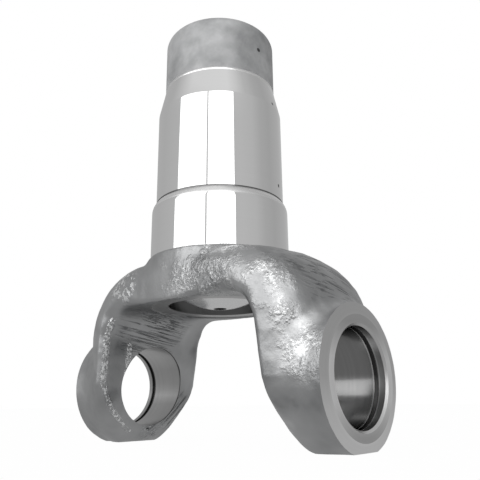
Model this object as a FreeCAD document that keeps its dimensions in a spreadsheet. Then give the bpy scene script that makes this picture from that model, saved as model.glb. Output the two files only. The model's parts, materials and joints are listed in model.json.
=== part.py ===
"""Forged slip yoke of a driveshaft, with the vent plug that closes its hollow barrel.

The origin is the joint centre, where the cross-bore axis meets the barrel axis. +X runs along the cross bores,
+Z up along the barrel. The two ears hang down from the saddle, and their end flats are what the yoke stands on.
"""

import FreeCAD, Part
import math
import os

import Sketcher

DOC = FreeCAD.newDocument("SlipYoke")

# Driving sizes in millimetres and degrees, one cell each.
SIZES = [
    ("cross_bore_dia", 34.93, "bearing cup bore in each ear"),
    ("ring_inset", 3.4, "outer face of an ear in to the outer wall of its snap-ring groove"),
    ("ring_groove_width", 1.8, "snap-ring groove, along the bore"),
    ("ring_groove_dia", 37.5, "snap-ring groove floor"),
    ("bore_lead_in", 0.8, "chamfer at each mouth of the cross bores"),
    ("ear_span", 133.0, "over the machined outer faces of the ears"),
    ("ear_gap", 85.2, "between the inner faces, at the cross-bore axis"),
    ("ear_draft", 7.0, "forging draft of the inner faces"),
    ("boss_radius", 25.6, "bosses round the cross bores, down to the round ends of the ears"),
    ("boss_length", 22.7, "outer faces of the ears in to where the bosses begin"),
    ("boss_round", 6.0, "round on the inner edge of the bosses"),
    ("boss_blend", 4.0, "hollow round between boss and arm"),
    ("ear_half_width", 27.6, "half the width of the ears at the cross-bore axis"),
    ("ear_end_bulge", 46.0, "radius of the two sloping sides of each ear end"),
    ("ear_end_half_width", 6.5, "half the width of the ear end between those sides"),
    ("face_land_dia", 42.8, "flat ring on the outer faces, inside the bevel"),
    ("face_bevel_depth", 0.8, "depth of the bevel round each outer face"),
    ("foot_drop", 24.4, "cross-bore axis down to the flats on the ear ends"),
    ("arm_setback", 4.3, "outer faces of the ears in to the outside of the arms"),
    ("arm_top", 50.0, "cross-bore axis up to the tops of the arms beside the hub"),
    ("arm_slope", 5.0, "fall of those tops from the hub outwards"),
    ("shoulder_round", 27.5, "round from the tops over into the outsides of the arms"),
    ("hub_top", 51.3, "cross-bore axis up to where the turned barrel begins"),
    ("hub_half_width", 31.2, "half the width of the fork at the hub top, fore and aft"),
    ("saddle_height", 31.0, "cross-bore axis up to the saddle between the ears"),
    ("toe_round", 8.5, "round from the inner faces under to the flats on the ear ends"),
    ("saddle_corner", 12.0, "round between saddle and inner faces"),
    ("facet_start", 15.5, "half width of the flat part of the inner faces"),
    ("facet_angle", 15.0, "slope of the inner faces beyond the flat part"),
    ("forging_round", 9.0, "round on the outer forged edges"),
    ("shoulder_dia", 60.5, "turned diameter next to the fork"),
    ("shoulder_top", 78.5, "upper face of that diameter"),
    ("shoulder_blend", 6.5, "round from it down to the seal diameter"),
    ("seal_dia", 57.0, "ground diameter that the seal runs on"),
    ("seal_top", 119.7, "upper end of the ground diameter"),
    ("end_dia", 51.5, "plain end of the barrel"),
    ("end_start", 133.4, "where the taper meets the plain end"),
    ("end_ring_depth", 0.5, "depth of the thin turned ring below the plain end"),
    ("end_ring_width", 1.2, "width of that ring"),
    ("barrel_top", 160.5, "cross-bore axis up to the open end of the barrel"),
    ("end_round", 4.0, "round on the outside of the open end"),
    ("spline_teeth", 16, "internal spline"),
    ("spline_major_dia", 38.1, "tooth spaces"),
    ("spline_minor_dia", 33.3, "tooth tips"),
    ("tooth_space_width", 2.9, "width of a tooth space at its floor"),
    ("flank_angle", 22.5, "slope of the tooth flanks"),
    ("spline_top", 146.0, "upper end of the spline"),
    ("barrel_lead_dia", 39.6, "plain counterbore above the spline"),
    ("plug_seat_dia", 44.0, "bore in the saddle that holds the plug"),
    ("plug_seat_top", 42.8, "shoulder that the plug is pushed up against"),
    ("saddle_face_dia", 62.0, "spot face round the plug bore"),
    ("saddle_face_depth", 0.5, "depth of that spot face"),
    ("plug_wall", 1.8, "thickness of the pressed plug"),
    ("plug_dome_radius", 31.0, "outside of the dome"),
    ("plug_dome_reach", 12.0, "half width of the dome, which runs on as a straight flank"),
    ("plug_depth", 12.1, "from the top of the rim to the lowest point of the dome"),
    ("plug_fit", 0.02, "clearance all round the plug in its seat"),
    ("vent_dia", 5.0, "hole in the middle of the plug"),
]


class Size:
    """A number that also knows the sheet expression it comes from, so one formula gives both."""

    def __init__(self, value, text):
        self.value = value
        self.text = text

    def _join(self, other, sign, value):
        return Size(value, f"({self.text} {sign} {other.text})")

    def __add__(self, other):
        other = as_size(other)
        return self._join(other, "+", self.value + other.value)

    def __sub__(self, other):
        other = as_size(other)
        return self._join(other, "-", self.value - other.value)

    def __rsub__(self, other):
        return as_size(other) - self

    def __mul__(self, other):
        other = as_size(other)
        return self._join(other, "*", self.value * other.value)

    def __truediv__(self, other):
        other = as_size(other)
        return self._join(other, "/", self.value / other.value)

    def __neg__(self):
        return Size(-self.value, f"(-{self.text})")


def as_size(number):
    return number if isinstance(number, Size) else Size(float(number), repr(float(number)))


def root(size):
    return Size(math.sqrt(size.value), f"sqrt({size.text})")


def tangent(angle):
    """Tangent of a size in degrees."""
    return Size(math.tan(math.radians(angle.value)), f"tan({angle.text} * 1 deg)")


def make_sheet():
    """Write the driving sizes to the document's spreadsheet and return them by name."""
    sheet = DOC.addObject("Spreadsheet::Sheet", "Sizes")
    named = {}
    for row, (alias, value, meaning) in enumerate(SIZES, start=1):
        sheet.set(f"A{row}", alias.replace("_", " "))
        sheet.set(f"B{row}", str(value))
        sheet.set(f"C{row}", meaning)
        sheet.setAlias(f"B{row}", alias)
        named[alias] = Size(float(value), f"Sizes.{alias}")
    DOC.recompute()
    return named


D = make_sheet()


def plane(body, role):
    for feature in body.Origin.OriginFeatures:
        if feature.Role == role:
            return feature
    raise KeyError(role)


def bind(target, prop, size):
    target.setExpression(prop, size.text)


def new_sketch(body, name, role, offset=None):
    """A sketch on one of the body's origin planes, moved along the plane's normal by offset."""
    sketch = body.newObject("Sketcher::SketchObject", name)
    sketch.AttachmentSupport = (plane(body, role), [""])
    sketch.MapMode = "FlatFace"
    if offset is not None:
        sketch.AttachmentOffset = FreeCAD.Placement(FreeCAD.Vector(0, 0, offset.value), FreeCAD.Rotation())
        bind(sketch, "AttachmentOffset.Base.z", offset)
    return sketch


def pin_point(sketch, geometry, point, corner, label, axes="XY"):
    """Tie one point of the sketch to a pair of sizes, or to one of the pair."""
    for axis, size in zip("XY", corner):
        if axis not in axes:
            continue
        size = as_size(size)
        index = sketch.addConstraint(
            Sketcher.Constraint(f"Distance{axis}", -1, 1, geometry, point, size.value)
        )
        name = f"{label}_{axis.lower()}"
        sketch.renameConstraint(index, name)
        bind(sketch, f"Constraints.{name}", size)


def arc_middle(start, end, centre, turn):
    """The point halfway along the arc from start to end round centre; turn is 1 anticlockwise, -1 clockwise."""
    first = math.atan2(start.y - centre.y, start.x - centre.x)
    last = math.atan2(end.y - centre.y, end.x - centre.x)
    sweep = ((last - first) * turn) % (2 * math.pi)
    angle = first + turn * sweep / 2
    radius = math.hypot(start.x - centre.x, start.y - centre.y)
    return FreeCAD.Vector(centre.x + radius * math.cos(angle), centre.y + radius * math.sin(angle), 0)


def point_of(corner):
    return FreeCAD.Vector(as_size(corner[0]).value, as_size(corner[1]).value, 0)


def draw_outline(sketch, corners, arcs=None, label="corner"):
    """A closed outline whose corners are pairs of sizes.

    The side that leaves corner i is straight, or an arc where arcs[i] gives its centre and its turn.
    """
    arcs = arcs or {}
    points = [point_of(corner) for corner in corners]
    count = len(points)
    sides = []
    for i in range(count):
        start, end = points[i], points[(i + 1) % count]
        if i not in arcs:
            sides.append((sketch.addGeometry(Part.LineSegment(start, end), False), 1, 2))
            continue
        centre, turn = arcs[i]
        through = arc_middle(start, end, point_of(centre), turn)
        if turn > 0:
            sides.append((sketch.addGeometry(Part.Arc(start, through, end), False), 1, 2))
        else:
            sides.append((sketch.addGeometry(Part.Arc(end, through, start), False), 2, 1))
    for i in range(count):
        index, _, leaves = sides[i]
        following, enters, _ = sides[(i + 1) % count]
        sketch.addConstraint(Sketcher.Constraint("Coincident", index, leaves, following, enters))
    for i, corner in enumerate(corners):
        index, enters, _ = sides[i]
        pin_point(sketch, index, enters, corner, f"{label}{i + 1}")
    for i, (centre, _) in arcs.items():
        chord = points[(i + 1) % count] - points[i]
        axes = "X" if abs(chord.y) > abs(chord.x) else "Y"
        pin_point(sketch, sides[i][0], 3, centre, f"{label}{i + 1}_centre", axes)


def draw_circle(sketch, centre, radius, label="circle"):
    """A circle with its centre and radius tied to sizes."""
    index = sketch.addGeometry(Part.Circle(point_of(centre), FreeCAD.Vector(0, 0, 1), radius.value), False)
    pin_point(sketch, index, 3, centre, f"{label}_centre")
    constraint = sketch.addConstraint(Sketcher.Constraint("Radius", index, radius.value))
    sketch.renameConstraint(constraint, f"{label}_radius")
    bind(sketch, f"Constraints.{label}_radius", radius)
    return index


def revolve(body, name, kind, sketch, axis):
    """Turn a sketch once round the body's X_Axis or Z_Axis, adding or cutting."""
    feature = body.newObject(f"PartDesign::{kind}", name)
    feature.Profile = sketch
    feature.ReferenceAxis = (plane(body, axis), [""])
    feature.Angle = 360
    DOC.recompute()
    return feature


def pocket_through(body, name, sketch):
    """Cut a sketch right through the body, both ways."""
    feature = body.newObject("PartDesign::Pocket", name)
    feature.Profile = sketch
    feature.Type = "ThroughAll"
    feature.Midplane = True
    DOC.recompute()
    return feature


def mirrored(body, name, original, role):
    """Repeat a feature on the other side of one of the body's planes."""
    feature = body.newObject("PartDesign::Mirrored", name)
    feature.Originals = [original]
    feature.MirrorPlane = (plane(body, role), [""])
    body.Tip = feature
    DOC.recompute()
    return feature


def edges_of(feature, wanted):
    """Names of the feature's edges for which wanted(edge) holds."""
    return [f"Edge{i}" for i, edge in enumerate(feature.Shape.Edges, start=1) if wanted(edge)]


def round_edges(body, name, base, wanted, radius):
    """A fillet on the chosen edges of the last feature."""
    feature = body.newObject("PartDesign::Fillet", name)
    feature.Base = (base, edges_of(base, wanted))
    feature.Radius = radius.value
    bind(feature, "Radius", radius)
    DOC.recompute()
    return feature


def middle(edge):
    """The point halfway along an edge."""
    first, last = edge.ParameterRange
    return edge.valueAt((first + last) / 2)


def near(a, b):
    return abs(a - b) < 0.01


# Yoke forging: the fork


def bulge_centre(first, last, radius):
    """Centre of the arc of a given radius that runs anticlockwise from first to last and bulges outwards."""
    (ax, ay), (bx, by) = [(as_size(x), as_size(y)) for x, y in (first, last)]
    dx = bx - ax
    dy = by - ay
    chord = root(dx * dx + dy * dy)
    inset = root(radius * radius - chord * chord / 4)
    return ((ax + bx) / 2 - dy / chord * inset, (ay + by) / 2 + dx / chord * inset)


def make_bosses(body):
    """Round bosses that carry the outer faces of the ears out beyond the arms."""
    radius = D["boss_radius"]
    edge = D["boss_round"]
    out = D["ear_span"] / 2
    start = out - D["boss_length"]
    profile = new_sketch(body, "BossProfile", "XZ_Plane")
    draw_outline(
        profile,
        [(start, 0), (out, 0), (out, radius), (start + edge, radius), (start, radius - edge)],
        arcs={3: ((start + edge, radius - edge), 1)},
    )
    boss = revolve(body, "Boss", "Revolution", profile, "X_Axis")
    pair = mirrored(body, "BossPair", boss, "YZ_Plane")

    def on_boss_root(edge):
        point = middle(edge)
        box = edge.BoundBox
        on_boss = abs(math.hypot(point.y, point.z) - radius.value) < 0.05
        inside = start.value + 8 < abs(point.x) < out.value - 1
        return on_boss and inside and point.z > 3 and box.XLength < 15 and edge.Length > 3

    return round_edges(body, "BossBlend", pair, on_boss_root, D["boss_blend"])


def make_fork(body):
    """The forged fork, before it is machined.

    Its outside is a dome turned round the barrel axis and trimmed fore and aft to the outline of the ears.
    """
    reach = D["ear_span"] / 2 - D["arm_setback"]
    low = -(D["boss_radius"] + 8)
    saddle = D["saddle_height"]

    wide = D["hub_half_width"]
    fall = tangent(D["arm_slope"])
    edge_height = D["arm_top"] - (reach - wide) * fall
    core = D["plug_seat_dia"] / 2
    core_height = D["arm_top"] + (wide - core) * fall

    profile = new_sketch(body, "DomeProfile", "XZ_Plane")
    draw_outline(profile, [(0, low), (reach, low), (reach, edge_height), (core, core_height), (0, core_height)])
    dome = revolve(body, "Dome", "Revolution", profile, "Z_Axis")

    def on_shoulder(edge):
        return near(edge.BoundBox.ZMin, edge_height.value) and near(edge.BoundBox.XMax, reach.value)

    round_edges(body, "ShoulderRound", dome, on_shoulder, D["shoulder_round"])

    # Ear outline: a blunt end with two sloping sides, then sides that flare up to the hub.
    above = D["hub_top"] + 5
    frame = reach + 10
    side = D["ear_half_width"]
    tip = D["ear_end_half_width"]
    bottom = -D["boss_radius"]
    bulge = bulge_centre((tip, bottom), (side, 0), D["ear_end_bulge"])
    outline = new_sketch(body, "EarOutline", "YZ_Plane")
    draw_outline(outline, [(-frame, -frame), (frame, -frame), (frame, frame), (-frame, frame)], label="frame")
    draw_outline(
        outline,
        [
            (-tip, bottom),
            (tip, bottom),
            (side, 0),
            (wide, D["hub_top"]),
            (wide, above),
            (-wide, above),
            (-wide, D["hub_top"]),
            (-side, 0),
        ],
        arcs={1: (bulge, 1), 7: ((-bulge[0], bulge[1]), 1)},
        label="ear",
    )
    trim = pocket_through(body, "OutlineTrim", outline)

    def on_outer_edge(edge):
        point = middle(edge)
        return abs(point.y) > 10 and point.z > 2 and edge.Length > 5 and math.hypot(point.x, point.y) > wide.value

    round_edges(body, "OuterRound", trim, on_outer_edge, D["forging_round"])
    make_bosses(body)

    # The hub swells out fore and aft under the barrel.
    hub_circle = new_sketch(body, "HubCircle", "XY_Plane", saddle)
    draw_circle(hub_circle, (0, 0), wide)
    hub = body.newObject("PartDesign::Pad", "Hub")
    hub.Profile = hub_circle
    hub.Length = (D["hub_top"] - saddle).value
    bind(hub, "Length", D["hub_top"] - saddle)
    DOC.recompute()

    # The gap: drafted inner faces that meet the saddle in a round, and round outwards at the toes.
    lean = tangent(D["ear_draft"])
    half_top = D["ear_gap"] / 2 - saddle * lean
    half_low = D["ear_gap"] / 2 - low * lean
    toe = D["toe_round"]
    foot = -D["foot_drop"]
    stretch = root(lean * lean + 1)
    toe_centre = D["ear_gap"] / 2 - (foot + toe) * lean + toe * stretch
    toe_start = toe_centre - toe / stretch
    toe_start_height = foot + toe - toe * lean / stretch
    gap_profile = new_sketch(body, "GapProfile", "XZ_Plane")
    draw_outline(
        gap_profile,
        [
            (-toe_centre, low),
            (toe_centre, low),
            (toe_centre, foot),
            (toe_start, toe_start_height),
            (half_top, saddle),
            (-half_top, saddle),
            (-toe_start, toe_start_height),
            (-toe_centre, foot),
        ],
        arcs={2: ((toe_centre, foot + toe), -1), 6: ((-toe_centre, foot + toe), -1)},
    )
    gap = pocket_through(body, "Gap", gap_profile)

    def on_gap_corner(edge):
        point = middle(edge)
        return near(edge.BoundBox.ZMin, saddle.value) and near(point.z, saddle.value) and near(
            abs(point.x), half_top.value
        )

    round_edges(body, "SaddleCorner", gap, on_gap_corner, D["saddle_corner"])

    # The inner faces slope away fore and aft of their flat middle, and the slope runs out in the saddle corner.
    start = D["facet_start"]
    depth = (wide - start) * tangent(D["facet_angle"])
    small = D["saddle_corner"] - depth
    corner_height = saddle - D["saddle_corner"]
    wall = D["ear_gap"] / 2 - corner_height * lean
    facet_profile = new_sketch(body, "FacetProfile", "XZ_Plane", start)
    centre = wall - small
    draw_outline(
        facet_profile,
        [
            (-half_low, low),
            (half_low, low),
            (wall, corner_height),
            (centre, corner_height + small),
            (-centre, corner_height + small),
            (-wall, corner_height),
        ],
        arcs={2: ((centre, corner_height), 1), 4: ((-centre, corner_height), 1)},
    )
    facet = body.newObject("PartDesign::Pocket", "FacetFront")
    facet.Profile = facet_profile
    facet.Length = (wide - start + 1).value
    bind(facet, "Length", wide - start + 1)
    facet.Reversed = True
    facet.TaperAngle = D["facet_angle"].value
    bind(facet, "TaperAngle", D["facet_angle"])
    DOC.recompute()
    return mirrored(body, "FacetBack", facet, "XZ_Plane")


# Yoke forging: the turned barrel


def make_barrel(body):
    """The stepped outside of the barrel, from the hub to the open end."""
    shoulder = new_sketch(body, "ShoulderCircle", "XY_Plane", D["saddle_height"] + D["saddle_corner"])
    draw_circle(shoulder, (0, 0), D["shoulder_dia"] / 2)
    length = D["shoulder_top"] - D["saddle_height"] - D["saddle_corner"]
    pad = body.newObject("PartDesign::Pad", "Shoulder")
    pad.Profile = shoulder
    pad.Length = length.value
    bind(pad, "Length", length)
    DOC.recompute()

    def on_top(edge):
        return near(edge.BoundBox.ZMin, D["shoulder_top"].value)

    round_edges(body, "ShoulderBlend", pad, on_top, D["shoulder_blend"])

    seal = D["seal_dia"] / 2
    plain = D["end_dia"] / 2
    ring = plain - D["end_ring_depth"]
    profile = new_sketch(body, "BarrelProfile", "XZ_Plane")
    draw_outline(
        profile,
        [
            (0, D["saddle_height"] + D["saddle_corner"]),
            (seal, D["saddle_height"] + D["saddle_corner"]),
            (seal, D["seal_top"]),
            (plain, D["end_start"] - D["end_ring_width"]),
            (ring, D["end_start"] - D["end_ring_width"]),
            (ring, D["end_start"]),
            (plain, D["end_start"]),
            (plain, D["barrel_top"]),
            (0, D["barrel_top"]),
        ],
    )
    barrel = revolve(body, "Barrel", "Revolution", profile, "Z_Axis")

    def on_end(edge):
        return near(edge.BoundBox.ZMin, D["barrel_top"].value)

    return round_edges(body, "EndRound", barrel, on_end, D["end_round"])


# Yoke forging: the machining


def machine_ears(body):
    """Cross bores with their snap-ring grooves, bevelled outer faces, and the flats on the ear ends."""
    out = D["ear_span"] / 2
    bore = D["cross_bore_dia"] / 2
    lead = D["bore_lead_in"]
    groove_out = out - D["ring_inset"]
    groove_in = groove_out - D["ring_groove_width"]
    floor = D["ring_groove_dia"] / 2
    half = [
        (out + 1, 0),
        (out + 1, bore + lead + 1),
        (out - lead, bore),
        (groove_out, bore),
        (groove_out, floor),
        (groove_in, floor),
        (groove_in, bore),
    ]
    other_half = [(-as_size(x), y) for x, y in reversed(half)]
    bores = new_sketch(body, "BoreProfile", "XZ_Plane")
    draw_outline(bores, half + other_half)
    revolve(body, "CrossBores", "Groove", bores, "X_Axis")

    land = D["face_land_dia"] / 2
    slope = D["face_bevel_depth"] / (D["boss_radius"] - land)
    beyond = D["boss_radius"] + 1
    bevel_profile = new_sketch(body, "FaceBevelProfile", "XZ_Plane")
    draw_outline(bevel_profile, [(out, land), (out + 1, land), (out + 1, beyond), (out - (beyond - land) * slope, beyond)])
    bevel = revolve(body, "FaceBevel", "Groove", bevel_profile, "X_Axis")
    mirrored(body, "FaceBevelPair", bevel, "YZ_Plane")

    flats = new_sketch(body, "FootFlats", "XZ_Plane")
    low = -(D["boss_radius"] + 9)
    draw_outline(flats, [(-out - 1, low), (out + 1, low), (out + 1, -D["foot_drop"]), (-out - 1, -D["foot_drop"])])
    return pocket_through(body, "FootCut", flats)


def machine_barrel(body):
    """The hollow of the barrel: plug seat, splined bore and plain counterbore, and the spot face round the seat."""
    seat = D["plug_seat_dia"] / 2
    tips = D["spline_minor_dia"] / 2
    lead = D["barrel_lead_dia"] / 2
    bottom = D["saddle_height"] - 1
    profile = new_sketch(body, "HollowProfile", "XZ_Plane")
    draw_outline(
        profile,
        [
            (0, bottom),
            (seat, bottom),
            (seat, D["plug_seat_top"]),
            (tips, D["plug_seat_top"]),
            (tips, D["spline_top"]),
            (lead, D["spline_top"] + (lead - tips)),
            (lead, D["barrel_top"] + 1),
            (0, D["barrel_top"] + 1),
        ],
    )
    revolve(body, "Hollow", "Groove", profile, "Z_Axis")

    spot = new_sketch(body, "SpotFaceCircle", "XY_Plane", D["saddle_height"] - 3)
    draw_circle(spot, (0, 0), D["saddle_face_dia"] / 2)
    face = body.newObject("PartDesign::Pocket", "SpotFace")
    face.Profile = spot
    face.Length = (D["saddle_face_depth"] + 3).value
    bind(face, "Length", D["saddle_face_depth"] + 3)
    face.Reversed = True
    DOC.recompute()

    # One tooth space of the spline, then the rest round the barrel axis.
    roots = D["spline_major_dia"] / 2
    half_root = D["tooth_space_width"] / 2
    flank = (roots - tips) * tangent(D["flank_angle"])
    run_out = D["spline_top"] + (lead - tips) + 1
    space = new_sketch(body, "ToothSpaceProfile", "XY_Plane", D["plug_seat_top"] - 1)
    under = tips - 1
    draw_outline(
        space,
        [
            (under, -(half_root + flank)),
            (tips, -(half_root + flank)),
            (roots, -half_root),
            (roots, half_root),
            (tips, half_root + flank),
            (under, half_root + flank),
        ],
    )
    cut = body.newObject("PartDesign::Pocket", "ToothSpace")
    cut.Profile = space
    length = run_out - D["plug_seat_top"] + 1
    cut.Length = length.value
    bind(cut, "Length", length)
    cut.Reversed = True
    DOC.recompute()
    spline = body.newObject("PartDesign::PolarPattern", "Spline")
    spline.Originals = [cut]
    spline.Axis = (plane(body, "Z_Axis"), [""])
    spline.Angle = 360
    spline.Occurrences = int(D["spline_teeth"].value)
    bind(spline, "Occurrences", D["spline_teeth"])
    body.Tip = spline
    DOC.recompute()
    return spline


def make_yoke():
    body = DOC.addObject("PartDesign::Body", "YokeForging")
    body.Label = "yoke_forging"
    steps = [("fork", make_fork), ("barrel", make_barrel), ("ears", machine_ears), ("hollow", machine_barrel)]
    for title, step in steps:
        feature = step(body)
        print(f"{title}: volume {feature.Shape.Volume:.0f} mm3")
    return body


# Vent plug


def make_plug():
    """A thin pressed cup: a dome that runs on as a straight flank, a straight rim, and a vent hole in the middle."""
    body = DOC.addObject("PartDesign::Body", "VentPlug")
    body.Label = "vent_plug"
    wall = D["plug_wall"]
    rim = D["plug_seat_dia"] / 2 - D["plug_fit"]
    top = D["plug_seat_top"] - D["plug_fit"]
    outside = D["plug_dome_radius"]
    reach = D["plug_dome_reach"]
    vent = D["vent_dia"] / 2
    centre = top - D["plug_depth"] + outside

    # Where the dome ends the flank leaves it along its tangent.
    rise = root(outside * outside - reach * reach)
    slope = reach / rise
    inner_scale = (outside - wall) / outside
    inner_reach = reach * inner_scale
    inner_rise = rise * inner_scale
    inside = outside - wall
    profile = new_sketch(body, "PlugProfile", "XZ_Plane")
    draw_outline(
        profile,
        [
            (vent, centre - root(outside * outside - vent * vent)),
            (reach, centre - rise),
            (rim, centre - rise + (rim - reach) * slope),
            (rim, top),
            (rim - wall, top),
            (rim - wall, centre - inner_rise + (rim - wall - inner_reach) * slope),
            (inner_reach, centre - inner_rise),
            (vent, centre - root(inside * inside - vent * vent)),
        ],
        arcs={0: ((0, centre), 1), 6: ((0, centre), -1)},
    )
    cup = revolve(body, "PlugCup", "Revolution", profile, "Z_Axis")
    print(f"plug: volume {cup.Shape.Volume:.0f} mm3")
    return body


def check_document():
    """Stop if any object of the document failed to build."""
    for item in DOC.Objects:
        for state in item.State:
            if state in ("Invalid", "Error"):
                raise RuntimeError(f"{item.Name} is {state}")


def export(bodies):
    os.makedirs("parts", exist_ok=True)
    for body in bodies:
        shape = body.Shape
        if shape.isNull() or not shape.isValid() or len(shape.Solids) != 1:
            raise RuntimeError(f"{body.Label} has no single valid solid")
    for body in bodies:
        body.Shape.exportStep(f"parts/{body.Label}.step")


BODIES = [make_yoke(), make_plug()]
DOC.recompute()
check_document()
export(BODIES)
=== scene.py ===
# %% [markdown]
# # A forged slip yoke, dressed for the camera
# The object is the slip yoke of a driveshaft. A ground steel barrel stands up, and a forged fork with
# two ears hangs below it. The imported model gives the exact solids. This lesson builds the same yoke
# again as a finer mesh, with the shot-blasted skin of a forging and the clean cuts of the machining, and
# gives each surface its own finish.

# %% Load the frame
import json
import math

import bpy
import numpy as np
from mathutils import Matrix, Vector


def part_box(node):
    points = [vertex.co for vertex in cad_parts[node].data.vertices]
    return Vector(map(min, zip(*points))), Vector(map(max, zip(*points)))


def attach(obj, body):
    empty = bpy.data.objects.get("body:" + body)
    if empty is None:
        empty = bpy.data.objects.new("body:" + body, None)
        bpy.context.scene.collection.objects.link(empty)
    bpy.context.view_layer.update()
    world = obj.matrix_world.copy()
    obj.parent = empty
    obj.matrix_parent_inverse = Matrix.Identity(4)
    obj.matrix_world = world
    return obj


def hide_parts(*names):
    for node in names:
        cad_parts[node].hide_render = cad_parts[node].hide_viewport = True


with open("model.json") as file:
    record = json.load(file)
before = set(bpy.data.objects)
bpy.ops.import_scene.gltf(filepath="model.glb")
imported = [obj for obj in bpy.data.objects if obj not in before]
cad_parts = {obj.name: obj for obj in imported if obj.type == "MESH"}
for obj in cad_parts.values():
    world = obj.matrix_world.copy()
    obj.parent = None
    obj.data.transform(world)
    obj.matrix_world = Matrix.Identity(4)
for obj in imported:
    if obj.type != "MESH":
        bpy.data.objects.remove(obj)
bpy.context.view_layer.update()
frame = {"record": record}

# %% [markdown]
# ## Sizes
# Blender works in metres here, but a yoke is easier to think about in millimetres, so every shape is
# worked out in millimetres and made metres when its mesh is built. The sizes that other parts depend on
# come from the frame's mounts, and the outer limits from the box of the node. The rest are the forging's
# own, and each is named in the cell that first needs it.

# %% Sizes from the frame
MM = 0.001
MOUNTS = {mount["name"]: mount for mount in frame["record"]["mounts"]}
BORE = MOUNTS["cross_bore"]["dims"]["r_mm"]
SEAL = MOUNTS["seal_land"]["dims"]["r_mm"]
MOUTH = MOUNTS["barrel_mouth"]["dims"]["r_mm"]
NODE_LOW, NODE_HIGH = (np.array(corner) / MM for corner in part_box("yoke_forging"))
FACE = NODE_HIGH[0]
TOP = NODE_HIGH[2]
FOOT = NODE_LOW[2]
HUB = NODE_HIGH[1]
print(f"bore {BORE} mm, faces at {FACE:.1f} mm, top {TOP:.1f} mm, feet {FOOT:.1f} mm")

# %% [markdown]
# ## The forging as a distance field
# A forging has no sharp edges and no straight lines: every shape flows into the next in a round. Boxes
# and cylinders joined by bevels would look stiff. Here each form is written as a distance, negative
# inside and positive outside, and the forms are joined and trimmed with formulas that leave a round of a
# given radius. The skin is where the result is 0.


# %% Join and trim with a round
def joined(a, b, radius):
    """Union of two distances, its inner corner filled with a round: the smaller, less a quarter circle."""
    circle = np.hypot(np.maximum(radius - a, 0), np.maximum(radius - b, 0))
    return np.maximum(radius, np.minimum(a, b)) - circle


def trimmed(a, b, radius):
    """Common part of two distances, its outer edge rounded: the larger, plus a quarter circle."""
    circle = np.hypot(np.maximum(a + radius, 0), np.maximum(b + radius, 0))
    return np.minimum(-radius, np.maximum(a, b)) + circle


def ramp(value, low, high):
    """0 below low, 1 above high and a smooth cubic between."""
    t = np.clip((value - low) / (high - low), 0, 1)
    return t * t * (3 - 2 * t)


print(f"a round of 4 mm takes {float(trimmed(0.0, 0.0, 4.0)):.2f} mm off the corner of two walls")

# %% [markdown]
# The outline of an ear, seen along X, flares up to the hub and ends below in an arc. The gap between the
# ears has walls that lean back, because a forging has to leave its die, and facets beside the flat
# middle. Both could be drawn as curves and pulled into solids. As distances they can be joined to the
# other forms with a round.

# %% Ear outline and gap
EAR_WIDTH = 29.2
EAR_TIP = 6.5
EAR_BULGE = 46.0
BOSS = 25.6
HUB_TOP = 51.3
EAR_GAP = 42.6
LEAN = math.tan(math.radians(7.0))
FACET_START = 15.5
FACET_SLOPE = math.tan(math.radians(9.0))
SADDLE = 31.0
SADDLE_CORNER = 12.0
# A slanting wall is nearer than its level distance by about this share.
SLANT = 0.98


def ear_outline(across, height):
    """Distance to the outline of the ears, seen along X: a flaring side above, an arc of EAR_BULGE below."""
    flare = (HUB - EAR_WIDTH) / HUB_TOP
    side = (across - EAR_WIDTH - flare * height) / math.hypot(1, flare)
    run = np.array([EAR_WIDTH - EAR_TIP, BOSS])
    chord = np.hypot(*run)
    inset = math.sqrt(EAR_BULGE**2 - chord**2 / 4)
    centre = np.array([(EAR_WIDTH + EAR_TIP) / 2, -BOSS / 2]) + np.array([-run[1], run[0]]) / chord * inset
    arc = np.hypot(across - centre[0], height - centre[1]) - EAR_BULGE
    return np.where(height > 0, side, arc)


def gap_field(x, y, z):
    """Distance to the gap between the ears: leaning walls, facets, and a round under the saddle."""
    wall = EAR_GAP - z * LEAN + np.maximum(np.abs(y) - FACET_START, 0) * FACET_SLOPE
    return trimmed((np.abs(x) - wall) * SLANT, z - SADDLE, SADDLE_CORNER)


print(f"gap: {2 * EAR_GAP:.1f} mm wide at the bores, {2 * (EAR_GAP - FOOT * LEAN):.1f} mm at the feet")

# %% [markdown]
# The edges along the gap were left by the die. Their round is small at the saddle, larger under the
# shoulders and largest at the toes, where the metal flowed furthest. A bevel has one width for a whole
# edge, but a formula can give each place a radius of its own.

# %% Round along the gap
GAP_ROUND = 2.0
ARM_GAIN = 0.4
SHOULDER_GAIN = 3.0
TOE_ROUND = 8.5
# Each change of the round has a start and an end: out along X, down the ear or up to the shoulder.
OUT_ON_ARM = (20, 36)
DOWN_TO_TOE = (3, 17)
OUT_TO_SHOULDER = (14, 28)
UP_TO_SHOULDER = (24, 30)


def gap_round(x, z):
    """GAP_ROUND at the saddle, more along the arm and under the shoulder, and TOE_ROUND at the toe."""
    out = np.abs(x)
    edge = GAP_ROUND + ARM_GAIN * ramp(out, *OUT_ON_ARM)
    edge = edge + (TOE_ROUND - GAP_ROUND - ARM_GAIN) * ramp(-z, *DOWN_TO_TOE)
    return edge + SHOULDER_GAIN * ramp(z, *UP_TO_SHOULDER) * ramp(out, *OUT_TO_SHOULDER)


print(f"round at the saddle {gap_round(0, SADDLE):.1f} mm, at the toe {gap_round(FACE, FOOT):.1f} mm")

# %% [markdown]
# The fork is four forms. A dome turned round the barrel axis gives the outside of the arms. The ear
# outline trims it fore and aft. Two tapered bosses carry the pads round the cross bores, and the hub
# swells under the barrel. The gap between the ears is a fifth form that is taken away.

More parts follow.
